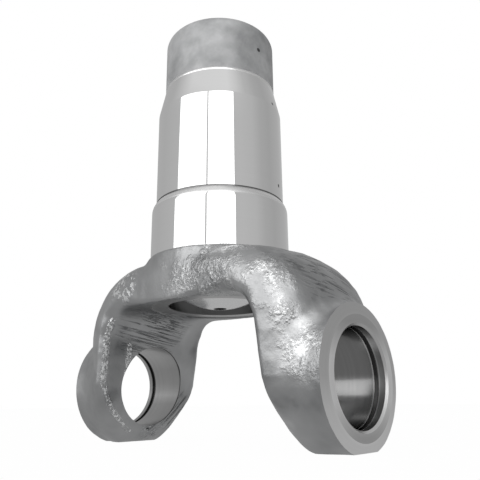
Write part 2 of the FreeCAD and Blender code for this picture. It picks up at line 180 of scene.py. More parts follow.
# %% The fork
ARM_SETBACK = 4.3
ARM = FACE - ARM_SETBACK
ARM_TOP = 50.0
ARM_SLOPE = math.tan(math.radians(5.0))
SHOULDER_ROUND = 27.5
EAR_ROUND = 10.5
BOSS_LENGTH = 22.7
BOSS_TAPER = 0.20
TAPER_END = 57.0
BOSS_ROUND = 2.0
BOSS_BLEND = 5.0
HUB_DEPTH = 8.0
HUB_ROUND = 1.0
HUB_BLEND = 2.5
# Stock is metal that the machining takes off again.
FACE_STOCK = 2.0
FOOT_STOCK = 0.3


def fork_field(x, y, z):
    """Distance to the forged fork before machining."""
    around = np.hypot(x, y)
    top = (z - ARM_TOP + ARM_SLOPE * np.maximum(around - HUB, 0)) / math.hypot(1, ARM_SLOPE)
    dome = trimmed(around - ARM, top, SHOULDER_ROUND)
    arms = trimmed(dome, ear_outline(np.abs(y), z), EAR_ROUND)

    taper = BOSS_TAPER * np.maximum(TAPER_END - np.abs(x), 0)
    round_boss = np.hypot(y, z) - BOSS + taper
    boss_ends = np.maximum(FACE - BOSS_LENGTH - np.abs(x), np.abs(x) - FACE - FACE_STOCK)
    boss = trimmed(round_boss * SLANT, boss_ends, BOSS_ROUND)
    ears = joined(arms, boss, BOSS_BLEND)

    hub = trimmed(around - HUB, np.maximum(z - HUB_TOP, SADDLE - HUB_DEPTH - z), HUB_ROUND)
    solid = np.maximum(joined(ears, hub, HUB_BLEND), FOOT - FOOT_STOCK - z)
    return trimmed(solid, -gap_field(x, y, z), gap_round(x, z))


middle = (SADDLE + HUB_TOP) / 2
print(f"the middle of the hub is {-float(fork_field(0.0, 0.0, middle)):.1f} mm inside the skin")

# %% [markdown]
# ## From field to mesh
# Metaballs or a volume could turn the field into a mesh, but both are hard to steer. Here the field is
# sampled on a grid, and a surface net turns the samples into quads: one vertex in each cell that the
# skin passes through, one quad for each grid line that it cuts.

# %% Surface net
CORNERS = np.array([(i, j, k) for i in (0, 1) for j in (0, 1) for k in (0, 1)])
CELL_EDGES = [(a, b) for a in range(8) for b in range(a + 1, 8) if abs(CORNERS[a] - CORNERS[b]).sum() == 1]


def surface_net(values, low, step):
    """Vertices and quads of the zero surface: a vertex is the mean of the crossings on its cell's edges."""
    inside = values < 0
    nx, ny, nz = values.shape
    count = sum(inside[i:nx - 1 + i, j:ny - 1 + j, k:nz - 1 + k].astype(int) for i, j, k in CORNERS)
    active = (count > 0) & (count < len(CORNERS))
    cells = np.argwhere(active)
    number = np.full(active.shape, -1)
    number[active] = np.arange(len(cells))
    at = np.stack([values[tuple((cells + corner).T)] for corner in CORNERS], axis=1)
    crossings = np.zeros((len(cells), 3))
    hits = np.zeros(len(cells))
    for a, b in CELL_EDGES:
        crossed = (at[:, a] < 0) != (at[:, b] < 0)
        part = np.where(crossed, at[:, a] / np.where(crossed, at[:, a] - at[:, b], 1), 0)
        crossings += (CORNERS[a] + part[:, None] * (CORNERS[b] - CORNERS[a])) * crossed[:, None]
        hits += crossed
    vertices = low + (cells + crossings / hits[:, None]) * step
    quads = []
    for axis in range(3):
        u, v = np.eye(3, dtype=int)[(axis + 1) % 3], np.eye(3, dtype=int)[(axis + 2) % 3]
        first = np.take(inside, np.arange(values.shape[axis] - 1), axis)
        second = np.take(inside, np.arange(1, values.shape[axis]), axis)
        where = np.argwhere(first != second)
        quad = np.stack([number[tuple((where + shift).T)] for shift in (0 * u, -u, -u - v, -v)], axis=1)
        outward_first = first[tuple(where.T)]
        quads.append(np.where(outward_first[:, None], quad, quad[:, ::-1]))
    return vertices, np.concatenate(quads)


print("a cell has", len(CORNERS), "corners and", len(CELL_EDGES), "edges")

# %% [markdown]
# A net alone shows the steps of its grid in a polished reflection. So the vertices slide along the
# field's slope until they lie on the skin exactly, as Newton's method finds a root.

# %% Mesh of the fork
SMALLEST_SLOPE = 0.2
LONGEST_SLIDE = 0.4


def slope_of(field, points, reach=0.05):
    """Gradient of the field by central differences."""
    steps = np.eye(3) * reach
    return np.stack([(field(*(points + s).T) - field(*(points - s).T)) / (2 * reach) for s in steps], axis=1)


def settled(field, points, rounds=3):
    """Points slid along the gradient until the field is 0: point - slope * field / slope squared."""
    for _ in range(rounds):
        slope = slope_of(field, points)
        size = np.maximum((slope**2).sum(1), SMALLEST_SLOPE)
        points = points - slope * np.clip(field(*points.T) / size, -LONGEST_SLIDE, LONGEST_SLIDE)[:, None]
    return points


STEP = 0.8
low = -np.array([FACE, HUB, BOSS]) - np.array([4, 2, 6])
high = np.array([FACE, HUB, HUB_TOP]) + np.array([4, 2, 2])
axes = [np.arange(a, b + STEP, STEP) for a, b in zip(low, high)]
samples = fork_field(*np.meshgrid(*axes, indexing="ij"))
fork_points, fork_quads = surface_net(samples, low, STEP)
fork_points = settled(fork_field, fork_points)
print(f"fork: {len(fork_points)} vertices, {len(fork_quads)} quads")

# %% [markdown]
# ## The forged skin
# Scale, die wear and shot blasting leave a forging slightly wavy and pitted all over. A Displace
# modifier could do this too, but the height here depends on the field, which a texture doesn't know.
# Random values on a lattice, blended smoothly from point to point, make the waves, and the vertices move
# along their normals. Each set of waves has its own size and height, and the walls of the gap, which
# look smoother in the picture, stay calmer.

# %% Waves of the skin
# Each set of waves has a height, a size and a seed.
WAVES = [(0.16, 7.0, 1), (0.09, 2.6, 2), (0.05, 1.7, 3)]
LATTICE = 64
CALMED = 0.75
ONTO_GAP = (-0.9, -0.1)


def lattice_noise(points, size, seed):
    """Smooth heights from -1 to 1: random values on a lattice of that size, blended between corners."""
    table = np.random.default_rng(seed).uniform(-1, 1, (LATTICE, LATTICE, LATTICE))
    place = points / size
    cell = np.floor(place).astype(int)
    part = place - cell
    part = part * part * (3 - 2 * part)
    blended = np.zeros(len(points))
    for corner in CORNERS:
        weight = np.prod(np.where(corner == 1, part, 1 - part), axis=1)
        blended += weight * table[tuple((cell + corner).T % LATTICE)]
    return blended


normals = slope_of(fork_field, fork_points)
normals /= np.linalg.norm(normals, axis=1)[:, None]
x, y, z = fork_points.T
from_gap = -gap_field(x, y, z)
inner = ramp(from_gap, *ONTO_GAP)
height = np.zeros(len(fork_points))
for wave_height, size, seed in WAVES:
    height += wave_height * (1 - CALMED * inner) * lattice_noise(fork_points, size, seed)
print(f"waves from {height.min():.2f} to {height.max():.2f} mm")

# %% [markdown]
# Where the dies met, a thin bead of flash was squeezed out and trimmed off. Its line runs down the inner
# face of each ear, just inside the rounded edge, and a thin burr marks where the flat middle begins. On
# the left ear both were rubbed bare and shine, so the mesh carries a mask of these lines, as an
# attribute that the material can read. The front of the hub has one small pit.

# %% Flash, burr and pit
# A fade is the height in which a line dies out at its top, and a foot the heights where it comes up.
FLASH_TOP = 30.0
FLASH_FADE = 6
BURR_TOP = 20.0
BURR_FADE = 4
BURR_FOOT = (-2, 3)
FLASH_IN = 3.3
FLASH_HEIGHT = 0.35
FLASH_WIDTH = 0.75
BARE_SHIFT = 0.3
BARE_WIDTH = 1.3
BARE_EDGE = (-1.5, -0.7)
BARE_FOOT = (-8, 4)
BARE_LOW = 0.45
BARE_MORE = 0.55
BURR_HEIGHT = 0.15
BURR_WIDTH = 1.1
PIT = np.array([24.9, -30.3, 38.4])
PIT_DEPTH = 0.8
PIT_WIDTH = 1.2


def bead(distance, width):
    """Height 1 on a line and a bell that falls off with the distance from it."""
    return np.exp(-(distance / width) ** 2)


low_down = ramp(FLASH_TOP - z, 0, FLASH_FADE)
from_flash = ear_outline(np.abs(y), z) + FLASH_IN
height += FLASH_HEIGHT * bead(from_flash, FLASH_WIDTH) * inner * low_down
flash = bead(from_flash - BARE_SHIFT, BARE_WIDTH) * ramp(from_gap, *BARE_EDGE) * low_down
flash = flash * (BARE_LOW + BARE_MORE * ramp(z, *BARE_FOOT))

burr = bead(np.abs(y) - FACET_START, BURR_WIDTH) * inner
burr = burr * ramp(BURR_TOP - z, 0, BURR_FADE) * ramp(z, *BURR_FOOT)
height += BURR_HEIGHT * burr
bright = (flash + burr) * (x < 0) * (y < 0)

height -= PIT_DEPTH * bead(np.linalg.norm(fork_points - PIT, axis=1), PIT_WIDTH)
fork_points = fork_points + normals * height[:, None]
print(f"bare metal on {int((bright > 0.5).sum())} of {len(bright)} vertices")

# %% [markdown]
# The hub's front and back lie on the box of the solid, and a wave there could stand outside it. Cutting
# it off would leave a flat spot, so the last millimetre is squeezed softly instead.

# %% Keep to the box
SQUEEZE = 1.2

reach = np.abs(fork_points[:, 1])
over = np.maximum(reach - (HUB - SQUEEZE), 0)
fork_points[:, 1] = np.sign(fork_points[:, 1]) * (reach - over + SQUEEZE * np.tanh(over / SQUEEZE))
print("fork box in mm:", fork_points.min(0).round(2), fork_points.max(0).round(2))

# %% [markdown]
# Points and faces become a mesh in one call, and the mesh hangs on an object that stays at the origin,
# unturned and unscaled.


# %% Mesh objects
def mesh_object(name, points, faces):
    """A mesh object at the origin, from points in millimetres."""
    mesh = bpy.data.meshes.new(name)
    mesh.from_pydata((np.asarray(points) * MM).tolist(), [], [list(map(int, face)) for face in faces])
    mesh.update()
    made = bpy.data.objects.new(name, mesh)
    bpy.context.scene.collection.objects.link(made)
    return made


forging = mesh_object("forging", fork_points, fork_quads)
shine = forging.data.attributes.new("shine", "FLOAT", "POINT")
shine.data.foreach_set("value", np.clip(bright, 0, 1))
print("the forging has", len(forging.data.polygons), "faces")

# %% [markdown]
# ## Turned shapes
# The barrel, the bores and every tool that cuts them are shapes of a lathe: a profile of places along
# the axis and radii there, carried once round. The Screw modifier does the same, but a grid is as short:
# one direction is the profile and the other the angle, and all points come from one formula.

# %% Lathe
SEGMENTS = 192
ALONG_X = np.array([[0, 1, 0], [0, 0, 1], [1, 0, 0]])
ALONG_Z = np.eye(3, dtype=int)


def ring_grid(rows, columns, closed):
    """Quads of a grid of rows and columns, whose columns close on themselves; rows close too when asked."""
    row = np.arange(rows if closed else rows - 1)[:, None]
    column = np.arange(columns)[None, :]
    ahead = (column + 1) % columns
    below = (row + 1) % rows
    this_row = row * columns
    next_row = below * columns
    corners = (this_row + column, this_row + ahead, next_row + ahead, next_row + column)
    return np.stack([np.broadcast_to(c, (len(row), columns)).ravel() for c in corners], axis=1)


def turned(name, profile, along=ALONG_Z, closed=False, segments=SEGMENTS):
    """Each (place, radius) of the profile becomes a circle: radius cos t, radius sin t, place."""
    profile = np.array(profile, dtype=float)
    angle = np.arange(segments) / segments * 2 * np.pi
    place, radius = profile.T
    circle = np.stack([np.cos(angle), np.sin(angle), 0 * angle], axis=1)
    points = radius[:, None, None] * circle + place[:, None, None] * np.array([0, 0, 1])
    points = points.reshape(-1, 3) @ along
    faces = ring_grid(len(profile), segments, closed).tolist()
    if not closed:
        faces.append(list(range(segments))[::-1])
        faces.append(list(range((len(profile) - 1) * segments, len(profile) * segments)))
    return outward(mesh_object(name, points, faces))


def outward(piece):
    """Turns the faces over if the volume they enclose comes out negative."""
    mesh = piece.data
    mesh.calc_loop_triangles()
    points = np.empty(len(mesh.vertices) * 3)
    mesh.vertices.foreach_get("co", points)
    corners = np.empty(len(mesh.loop_triangles) * 3, dtype=int)
    mesh.loop_triangles.foreach_get("vertices", corners)
    a, b, c = points.reshape(-1, 3)[corners.reshape(-1, 3)].transpose(1, 0, 2)
    if np.einsum("ij,ij->i", a, np.cross(b, c)).sum() < 0:
        mesh.flip_normals()
    print(f"{piece.name}: {len(mesh.vertices)} vertices, {len(mesh.polygons)} faces")
    return piece


def quarter(place, radius, size, start, end, count=8):
    """Profile points on an arc round (place, radius), from start to end degrees; 0 is straight out."""
    t = np.radians(np.linspace(start, end, count))
    return list(zip(place + size * np.sin(t), radius + size * np.cos(t)))


# %% [markdown]
# The barrel has three diameters: the shoulder over the hub, the ground seal land and the plain end. A
# large round leads from the shoulder to a thin line where the grinding wheel stopped, and the plain end
# starts with a narrow relief groove. A stack of cylinders would need each edge rounded later. One
# profile holds them all.

# %% Barrel outside
SHOULDER = 30.25
SHOULDER_END = 72.0
PLAIN = 25.75
SEAL_TOP = 119.7
PLAIN_START = 133.4
SPLINE_TOP = 146.0
STEP_ROUND = 6.5
INTO_HUB = 12.0
STOP_LINE = 0.2
STOP_LINE_START = 0.05
STOP_LINE_END = 0.45
STOP_LINE_TOP = 0.6
SEAL_EDGE = 0.3
SEAL_FALL = 0.07
RELIEF = 0.5
RELIEF_LENGTH = 1.2
RELIEF_EDGE = 0.1
# How far the small edge at the start of the plain end reaches down and up.
PLAIN_EDGE = (0.2, 0.3)
END_ROUND = 4.0
step_angle = math.degrees(math.acos((SEAL - SHOULDER + STEP_ROUND) / STEP_ROUND))
step_top = SHOULDER_END + STEP_ROUND * math.sin(math.radians(step_angle))
line_floor = SEAL - STOP_LINE
relief_start = PLAIN_START - RELIEF_LENGTH

barrel_profile = [(SADDLE + INTO_HUB, SHOULDER), (HUB_TOP + 1, SHOULDER)]
barrel_profile += quarter(SHOULDER_END, SHOULDER - STEP_ROUND, STEP_ROUND, 0, step_angle)
barrel_profile += [(step_top + STOP_LINE_START, line_floor), (step_top + STOP_LINE_END, line_floor)]
barrel_profile += [(step_top + STOP_LINE_TOP, SEAL)]
barrel_profile += [(SEAL_TOP - SEAL_EDGE, SEAL), (SEAL_TOP + SEAL_EDGE, SEAL - SEAL_FALL)]
barrel_profile += [(relief_start, PLAIN), (relief_start + RELIEF_EDGE, PLAIN - RELIEF)]
barrel_profile += [(PLAIN_START - PLAIN_EDGE[0], PLAIN - RELIEF), (PLAIN_START, PLAIN - RELIEF_EDGE)]
barrel_profile += [(PLAIN_START + PLAIN_EDGE[1], PLAIN)]
barrel_profile += quarter(TOP - END_ROUND, PLAIN - END_ROUND, END_ROUND, 0, 90, 14)
barrel = turned("barrel", barrel_profile)

# %% [markdown]
# ## Machining
# The forging then goes to the lathe, the boring mill and the broach. The cuts could be modelled by
# moving vertices, but a boolean does what the machine does: each tool is a closed shape that is taken
# away, and it leaves the crisp edges that only cutting makes. The first tools bore the cross bores, with
# a lead-in and a snap-ring groove near each face, and face the pads with a bevel round them.


# %% Bore and pad tools
def both_ends(half):
    """A profile along X and its mirror image."""
    return [(-place, radius) for place, radius in half] + half[::-1]


LEAD = 0.8
GROOVE = 18.75
GROOVE_SETBACK = 3.4
GROOVE_WIDTH = 1.8
GROOVE_OUT = FACE - GROOVE_SETBACK
GROOVE_IN = GROOVE_OUT - GROOVE_WIDTH
# A ring this wide on each side of the groove has faces of its own, for a finish of its own.
EDGE = 0.5
bore_half = [(FACE + 1, BORE + LEAD + 1), (FACE - LEAD, BORE), (GROOVE_OUT + EDGE, BORE), (GROOVE_OUT, BORE)]
bore_half += [(GROOVE_OUT, GROOVE), (GROOVE_IN, GROOVE), (GROOVE_IN, BORE), (GROOVE_IN - EDGE, BORE)]
bore_tool = turned("bore_tool", both_ends(bore_half), ALONG_X)

LAND = 21.4
BEVEL_DEPTH = 0.8
BEVEL = BEVEL_DEPTH / (BOSS - LAND)
# Every tool reaches a few millimetres past the metal.
PAST = 9.0
pad_rim = BOSS + 3
pad_half = [(FACE, LAND), (FACE - (pad_rim - LAND) * BEVEL, pad_rim), (FACE + PAST, pad_rim)]
pad_tools = [
    turned(f"face_tool_{side}", [(side * place, radius) for place, radius in pad_half], ALONG_X)
    for side in (-1, 1)
]

# %% [markdown]
# The hollow is cut from both ends: the spot face and the plug seat from below, the splined bore and the
# wider mouth from above. It is one profile again, from the saddle up to the top of the barrel.

# %% Hollow tool
PLUG_SEAT = 22.0
SEAT_TOP = 42.8
SEAT_BEVEL = 0.3
SPLINE_TIP = 16.65
SPLINE_ROOT = 19.05
SPOT = 29.5
SPOT_DEPTH = 0.5
SPOT_REACH = 11.0
MOUTH_BEVEL = 1.0
BEVEL_BELOW = 0.8
BEVEL_ABOVE = 0.2
spot_level = SADDLE + SPOT_DEPTH
spline_end = SPLINE_TOP + MOUTH - SPLINE_TIP
hollow_profile = [(SADDLE - SPOT_REACH, SPOT), (spot_level, SPOT), (spot_level, PLUG_SEAT + SEAT_BEVEL)]
hollow_profile += [(spot_level + SEAT_BEVEL, PLUG_SEAT), (SEAT_TOP, PLUG_SEAT), (SEAT_TOP, SPLINE_TIP)]
hollow_profile += [(SPLINE_TOP, SPLINE_TIP), (spline_end, MOUTH), (TOP - BEVEL_BELOW, MOUTH)]
hollow_profile += [(TOP + BEVEL_ABOVE, MOUTH + MOUTH_BEVEL), (TOP + 2, MOUTH + MOUTH_BEVEL)]
hollow_tool = turned("hollow_tool", hollow_profile)

# %% [markdown]
# A broach pulls sixteen tooth spaces through the bore, so that a splined shaft can slide in it. One
# space is drawn and repeated by its angle, and the whole outline is pulled up as a prism. The flats
# under the ears need only a plain block.


# %% Spline and foot tools
def prism(name, outline, bottom, top):
    """A closed outline of points in the XY plane, pulled up from bottom to top."""
    outline = np.asarray(outline)
    count = len(outline)
    points = [np.column_stack([outline, np.full(count, level)]) for level in (bottom, top)]
    faces = ring_grid(2, count, False).tolist() + [list(range(count))[::-1], list(range(count, 2 * count))]
    return outward(mesh_object(name, np.concatenate(points), faces))


TEETH = 16
SPACE_HALF = 1.45
FLANK_ANGLE = 22.5
tooth = math.pi / TEETH
mouth_half = SPACE_HALF + (SPLINE_ROOT - SPLINE_TIP) * math.tan(math.radians(FLANK_ANGLE))
space_floor = math.atan2(SPACE_HALF, SPLINE_ROOT)
space_mouth = math.atan2(mouth_half, SPLINE_TIP)
one_space = [(-space_mouth, SPLINE_TIP), (-space_floor, SPLINE_ROOT), (0.0, SPLINE_ROOT)]
one_space += [(space_floor, SPLINE_ROOT), (space_mouth, SPLINE_TIP), (tooth, SPLINE_TIP)]
angles = np.concatenate([[angle + k * 2 * tooth for angle, _ in one_space] for k in range(TEETH)])
radii = np.array([radius for _, radius in one_space] * TEETH)
spline_outline = np.column_stack([radii * np.cos(angles), radii * np.sin(angles)])
spline_tool = prism("spline_tool", spline_outline, SEAT_TOP - 3, spline_end + 1)

foot_x, foot_y = FACE + PAST, 40.0
foot_outline = [(-foot_x, -foot_y), (foot_x, -foot_y), (foot_x, foot_y), (-foot_x, foot_y)]
foot_tool = prism("foot_tool", foot_outline, FOOT - PAST, FOOT)

# %% [markdown]
# The barrel is joined to the fork, and the tools then cut one after the other. The manifold solver is
# fast on closed meshes and keeps the attribute that marks the bare metal.


# %% Cutting
def combined(target, tool, operation):
    """Applies one boolean to the target and throws the tool away."""
    step = target.modifiers.new("machining", "BOOLEAN")
    step.operation = operation
    step.solver = "MANIFOLD"
    step.object = tool
    bpy.context.view_layer.update()
    ready = target.evaluated_get(bpy.context.evaluated_depsgraph_get())
    result = bpy.data.meshes.new_from_object(ready)
    target.modifiers.clear()
    target.data = result
    bpy.data.objects.remove(tool)
    print(f"{operation.lower()}: {len(result.polygons)} faces")
    return target


combined(forging, barrel, "UNION")
for tool in (bore_tool, *pad_tools, foot_tool, hollow_tool, spline_tool):
    combined(forging, tool, "DIFFERENCE")
forging.name = "yoke"
forging.data.name = "yoke"

# %% [markdown]
# ## Which finish goes where
# Every face knows its place and direction, so the finish of each face can be read off the geometry: the
# bore walls are the faces at the bore's radius, the pads are those that look along X at the ends, and so
# on. Painting the faces by hand would have to be done again after each change. What no rule picks out
# was never machined and keeps the skin of the forging.

# %% Places and directions of the faces
ZONES = ["skin", "ground", "turned", "bored", "groove", "faced", "bevel", "spot face", "plug seat"]
ZONES += ["broached", "satin", "round"]
SKIN, GROUND, TURNED, BORED, GROOVED, FACED, BEVELLED, SPOT_FACED, SEAT = range(9)
BROACHED, SATIN_LIT, ROUNDED = range(9, 12)

mesh = forging.data
faces = len(mesh.polygons)
centre = np.empty(faces * 3)
mesh.polygons.foreach_get("center", centre)
direction = np.empty(faces * 3)
mesh.polygons.foreach_get("normal", direction)
cx, cy, cz = centre.reshape(-1, 3).T / MM
nx, ny, nz = direction.reshape(-1, 3).T
out_x = np.abs(cx)
from_x = np.hypot(cy, cz)
from_z = np.hypot(cx, cy)
zone = np.full(faces, SKIN)
print("attributes:", [attribute.name for attribute in mesh.attributes])

# %% Finish of the barrel and the hollow
# Tolerances in millimetres: how far a face may lie off its place and still count. LEVEL is a normal.
HAIR = 0.01
NEAR = 0.02
SLACK = 0.05
LEVEL = 0.99
BARREL_WALL = 6
MOUTH_SLACK = 0.3
SEAT_SLACK = 0.1
ROUND_START = SHOULDER_END + 1.3
outside_barrel = from_z > MOUTH + MOUTH_SLACK
in_seat = from_z < PLUG_SEAT + SEAT_BEVEL + SEAT_SLACK
zone[(cz > HUB_TOP + NEAR) & (from_z > PLAIN - BARREL_WALL)] = GROUND
zone[(cz > ROUND_START) & (cz < step_top)] = ROUNDED
# The stop line takes the dark grey of the right bore: painted shade in its small groove.
zone[(cz > step_top) & (cz < step_top + STOP_LINE_TOP + NEAR)] = BORED
zone[(cz > relief_start - SLACK) & outside_barrel] = ROUNDED
zone[(cz > PLAIN_START - SLACK) & outside_barrel] = TURNED
zone[(cz > SEAT_TOP - HAIR) & in_seat] = BROACHED
# The plug seat deep in the hollow takes a dark grey: painted shade.
zone[(cz > spot_level + HAIR) & (cz < SEAT_TOP) & in_seat] = SEAT
zone[(np.abs(cz - spot_level) < NEAR) & (nz < -LEVEL) & (from_z < SPOT)] = SPOT_FACED
print("turned faces on the end of the barrel:", int((zone == TURNED).sum()))

# %% [markdown]
# In the bores the edges of the ring groove get greys of their own. In the right bore a bright grey paints
# the thin lines of light that they catch, and in the left one, which is seen from inside, the groove's dark
# grey paints them in shade, like the groove.

# %% Finish of the ears
PAD_DEPTH = 1.8
ACROSS = 0.9
FLAT = 0.995
BORE_FROM = EAR_GAP - 4
BORE_BELOW = 20
SHARP_ANGLE = 32
pad = (out_x > FACE - PAD_DEPTH) & (np.abs(nx) > ACROSS)
zone[pad] = FACED
zone[pad & (np.abs(nx) < FLAT)] = BEVELLED
zone[(cz < FOOT + NEAR) & (nz < -LEVEL)] = FACED

# The right bore's walls take a darker grey, painted shade; the left bore's walls and the right bore's outer
# land a lighter one, painted light.
in_bore = (from_x < GROOVE + SLACK) & (out_x > BORE_FROM) & (cz < BORE_BELOW)
bore_wall = in_bore & (np.abs(nx) < ACROSS)
zone[bore_wall] = BORED
zone[bore_wall & (cx < 0)] = SATIN_LIT
zone[bore_wall & (out_x > GROOVE_OUT)] = SATIN_LIT
zone[bore_wall & (out_x > FACE - LEAD)] = BEVELLED
# Painted highlight on the groove's edges in the right bore, painted shade in the left one.
groove_edges = (out_x > GROOVE_IN - EDGE) & (out_x < GROOVE_OUT + EDGE) & (from_x < BORE + HAIR)
zone[in_bore & groove_edges & (cx > 0)] = BEVELLED
zone[in_bore & groove_edges & (cx < 0)] = GROOVED
zone[in_bore & (out_x > GROOVE_IN - HAIR) & (out_x < GROOVE_OUT + HAIR)] = GROOVED

mesh.materials.clear()
mesh.polygons.foreach_set("material_index", zone)
mesh.polygons.foreach_set("use_smooth", np.full(faces, True))
mesh.set_sharp_from_angle(angle=math.radians(SHARP_ANGLE))
print({name: int((zone == i).sum()) for i, name in enumerate(ZONES)})

# %% [markdown]
# ## Vent plug
# A thin pressed dish closes the barrel in the saddle, with a small hole that lets air through as the
# shaft slides. A disc with a Solidify modifier would do, but the real one has a rim that turns up. Its
# section is two lines, outside and inside, that run side by side a wall apart, with a small bevel at the
# hole.

# %% Plug
PLUG_LOW, PLUG_HIGH = (np.array(corner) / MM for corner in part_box("vent_plug"))
DOME = 31.0
DOME_REACH = 12.0
WALL = 1.8
VENT = 2.5
VENT_BEVEL = 0.3
ARC_START = 0.35
ARC_POINTS = 14
BEND_START = 0.8
BEND_IN = 0.12
BEND_UP = 0.25
BEND_END = 0.9
RIM_BEVEL = 0.3
plug_rim = PLUG_HIGH[0]
plug_top = PLUG_HIGH[2]
dome_centre = PLUG_LOW[2] + math.sqrt(DOME**2 - VENT**2)
dome_angle = math.asin(DOME_REACH / DOME)
flank = math.tan(dome_angle)


def dish(shrink):
    """One side of the dish from the vent to the rim: an arc of the dome, then its tangent out to the rim."""
    size = DOME - shrink
    t = np.linspace(math.asin((VENT + ARC_START) / size), dome_angle, ARC_POINTS)
    arc = [(dome_centre - size * math.cos(a), size * math.sin(a)) for a in t]
    reach = size * math.sin(dome_angle)
    level = dome_centre - size * math.cos(dome_angle)
    edge = plug_rim - shrink
    rise = (edge - reach) * flank
    bend = [(level + (edge - BEND_START - reach) * flank, edge - BEND_START)]
    bend += [(level + rise + BEND_UP, edge - BEND_IN), (level + rise + BEND_END, edge)]
    return arc + bend


rim_low = plug_top - RIM_BEVEL
outside = dish(0.0) + [(rim_low, plug_rim), (plug_top, plug_rim - RIM_BEVEL)]
inside = dish(WALL) + [(rim_low, plug_rim - WALL), (plug_top, plug_rim - WALL + RIM_BEVEL)]
vent_low, vent_high = outside[0][0], inside[0][0]
plug_profile = outside + inside[::-1] + [(vent_high - VENT_BEVEL, VENT), (vent_low + VENT_BEVEL, VENT)]
plug = turned("plug", plug_profile, closed=True, segments=128)

# %% Faces of the plug
VENT_EDGE = 0.2
PLUG_SHARP_ANGLE = 40
plug_faces = len(plug.data.polygons)
plug_centre = np.empty(plug_faces * 3)
plug.data.polygons.foreach_get("center", plug_centre)
plug_reach = np.hypot(plug_centre[0::3], plug_centre[1::3]) / MM
# The wall of the vent hole gets a material of its own, a near black grey that paints the shade in the hole.
vent_wall = plug_reach < VENT + VENT_EDGE
plug.data.polygons.foreach_set("use_smooth", np.full(plug_faces, True))
plug.data.set_sharp_from_angle(angle=math.radians(PLUG_SHARP_ANGLE))
plug.data.polygons.foreach_set("material_index", vent_wall.astype(int))
print("faces of the vent's wall:", int(vent_wall.sum()))

# %% [markdown]
# ## Riding on the frame
# The yoke has no joints, so both pieces ride on the root body. Each takes the place of its node, whose
# plain solid is then hidden.

# %% Hand the pieces to the frame
for piece, node, slot in ((forging, "yoke_forging", "forged_steel"), (plug, "vent_plug", "pressed_steel")):
    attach(piece, "root")
    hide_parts(node)
    print(piece.name, "replaces", node)

# %% [markdown]
# ## Finishes
# Steel is grey everywhere, so what tells one surface from another is how it was made. Lathe and boring
# marks run round an axis, grinding leaves a near mirror, blasting leaves a fine grain that glints, and
# handling leaves faint clouds. Each of these effects is a node group with named values, so that every
# finish can use it at its own strength. A few helpers first keep the node trees short.


# %% Node helpers
def node_group(name, inputs, outputs):
    """An empty group with its sockets; inputs are (name, value) pairs of numbers."""
    group = bpy.data.node_groups.new(name, "ShaderNodeTree")
    for label, value in inputs:
        socket = group.interface.new_socket(label, in_out="INPUT", socket_type="NodeSocketFloat")
        socket.default_value = value
    for label in outputs:
        group.interface.new_socket(label, in_out="OUTPUT", socket_type="NodeSocketFloat")
    print("group:", name)
    return group, group.nodes.new("NodeGroupInput"), group.nodes.new("NodeGroupOutput")


def link(tree, source, target):
    """Joins an output socket to an input socket."""
    tree.links.new(source, target)


def math_node(tree, operation, first, second=None):
    """A Math node whose inputs are sockets or plain numbers; gives its output socket."""
    node = tree.nodes.new("ShaderNodeMath")
    node.operation = operation
    for slot_number, value in enumerate((first, second)):
        if value is None:
            continue
        if isinstance(value, (int, float)):
            node.inputs[slot_number].default_value = value
        else:
            link(tree, value, node.inputs[slot_number])
    return node.outputs[0]


def noise(tree, vector, scale, detail=3.0, rough=0.55):
    """A Noise texture on a vector socket; scale is a socket or a number, in waves per metre."""
    node = tree.nodes.new("ShaderNodeTexNoise")
    node.inputs["Detail"].default_value = detail
    node.inputs["Roughness"].default_value = rough
    link(tree, vector, node.inputs["Vector"])
    if isinstance(scale, (int, float)):
        node.inputs["Scale"].default_value = scale
    else:
        link(tree, scale, node.inputs["Scale"])
    return node.outputs["Fac"]


# %% More node helpers
def objects_own(tree):
    """The object's own coordinates, in metres."""
    return tree.nodes.new("ShaderNodeTexCoord").outputs["Object"]


def split_up(tree, vector):
    """A node with the X, Y and Z of a vector socket."""
    node = tree.nodes.new("ShaderNodeSeparateXYZ")
    link(tree, vector, node.inputs[0])
    return node


def multiplied(tree, first, second):
    """Product of two colours or vectors, the second a socket or three numbers."""
    node = tree.nodes.new("ShaderNodeVectorMath")
    node.operation = "MULTIPLY"
    link(tree, first, node.inputs[0])
    if isinstance(second, tuple):
        node.inputs[1].default_value = second
    else:
        link(tree, second, node.inputs[1])
    return node.outputs[0]


def spread(tree, value, low, high, out_low=0.0, out_high=1.0):
    """Maps low..high of the value to out_low..out_high and holds it there outside."""
    node = tree.nodes.new("ShaderNodeMapRange")
    node.clamp = True
    link(tree, value, node.inputs["Value"])
    for label, number in zip(("From Min", "From Max", "To Min", "To Max"), (low, high, out_low, out_high)):
        node.inputs[label].default_value = number
    return node.outputs["Result"]


def largest(tree, values):
    """The largest of several sockets."""
    result = values[0]
    for value in values[1:]:
        result = math_node(tree, "MAXIMUM", result, value)
    return result


def total(tree, terms):
    """Sum of sockets, each times its own number."""
    result = None
    for value, weight in terms:
        part = math_node(tree, "MULTIPLY", value, weight)
        result = part if result is None else math_node(tree, "ADD", result, part)
    return result


# %% [markdown]
# Shot blasting covers a forging with overlapping dents. A Voronoi texture gives round dents, but real
# ones overlap so much that noise at two sizes looks closer. The high spots also give the mask where
# the skin's glints are painted lighter.


# %% Group: blasted grain
FINE_DENTS = 2.7
CLOUD_SCALE = 48.0
HIGH_SPOTS = (0.49, 0.62)


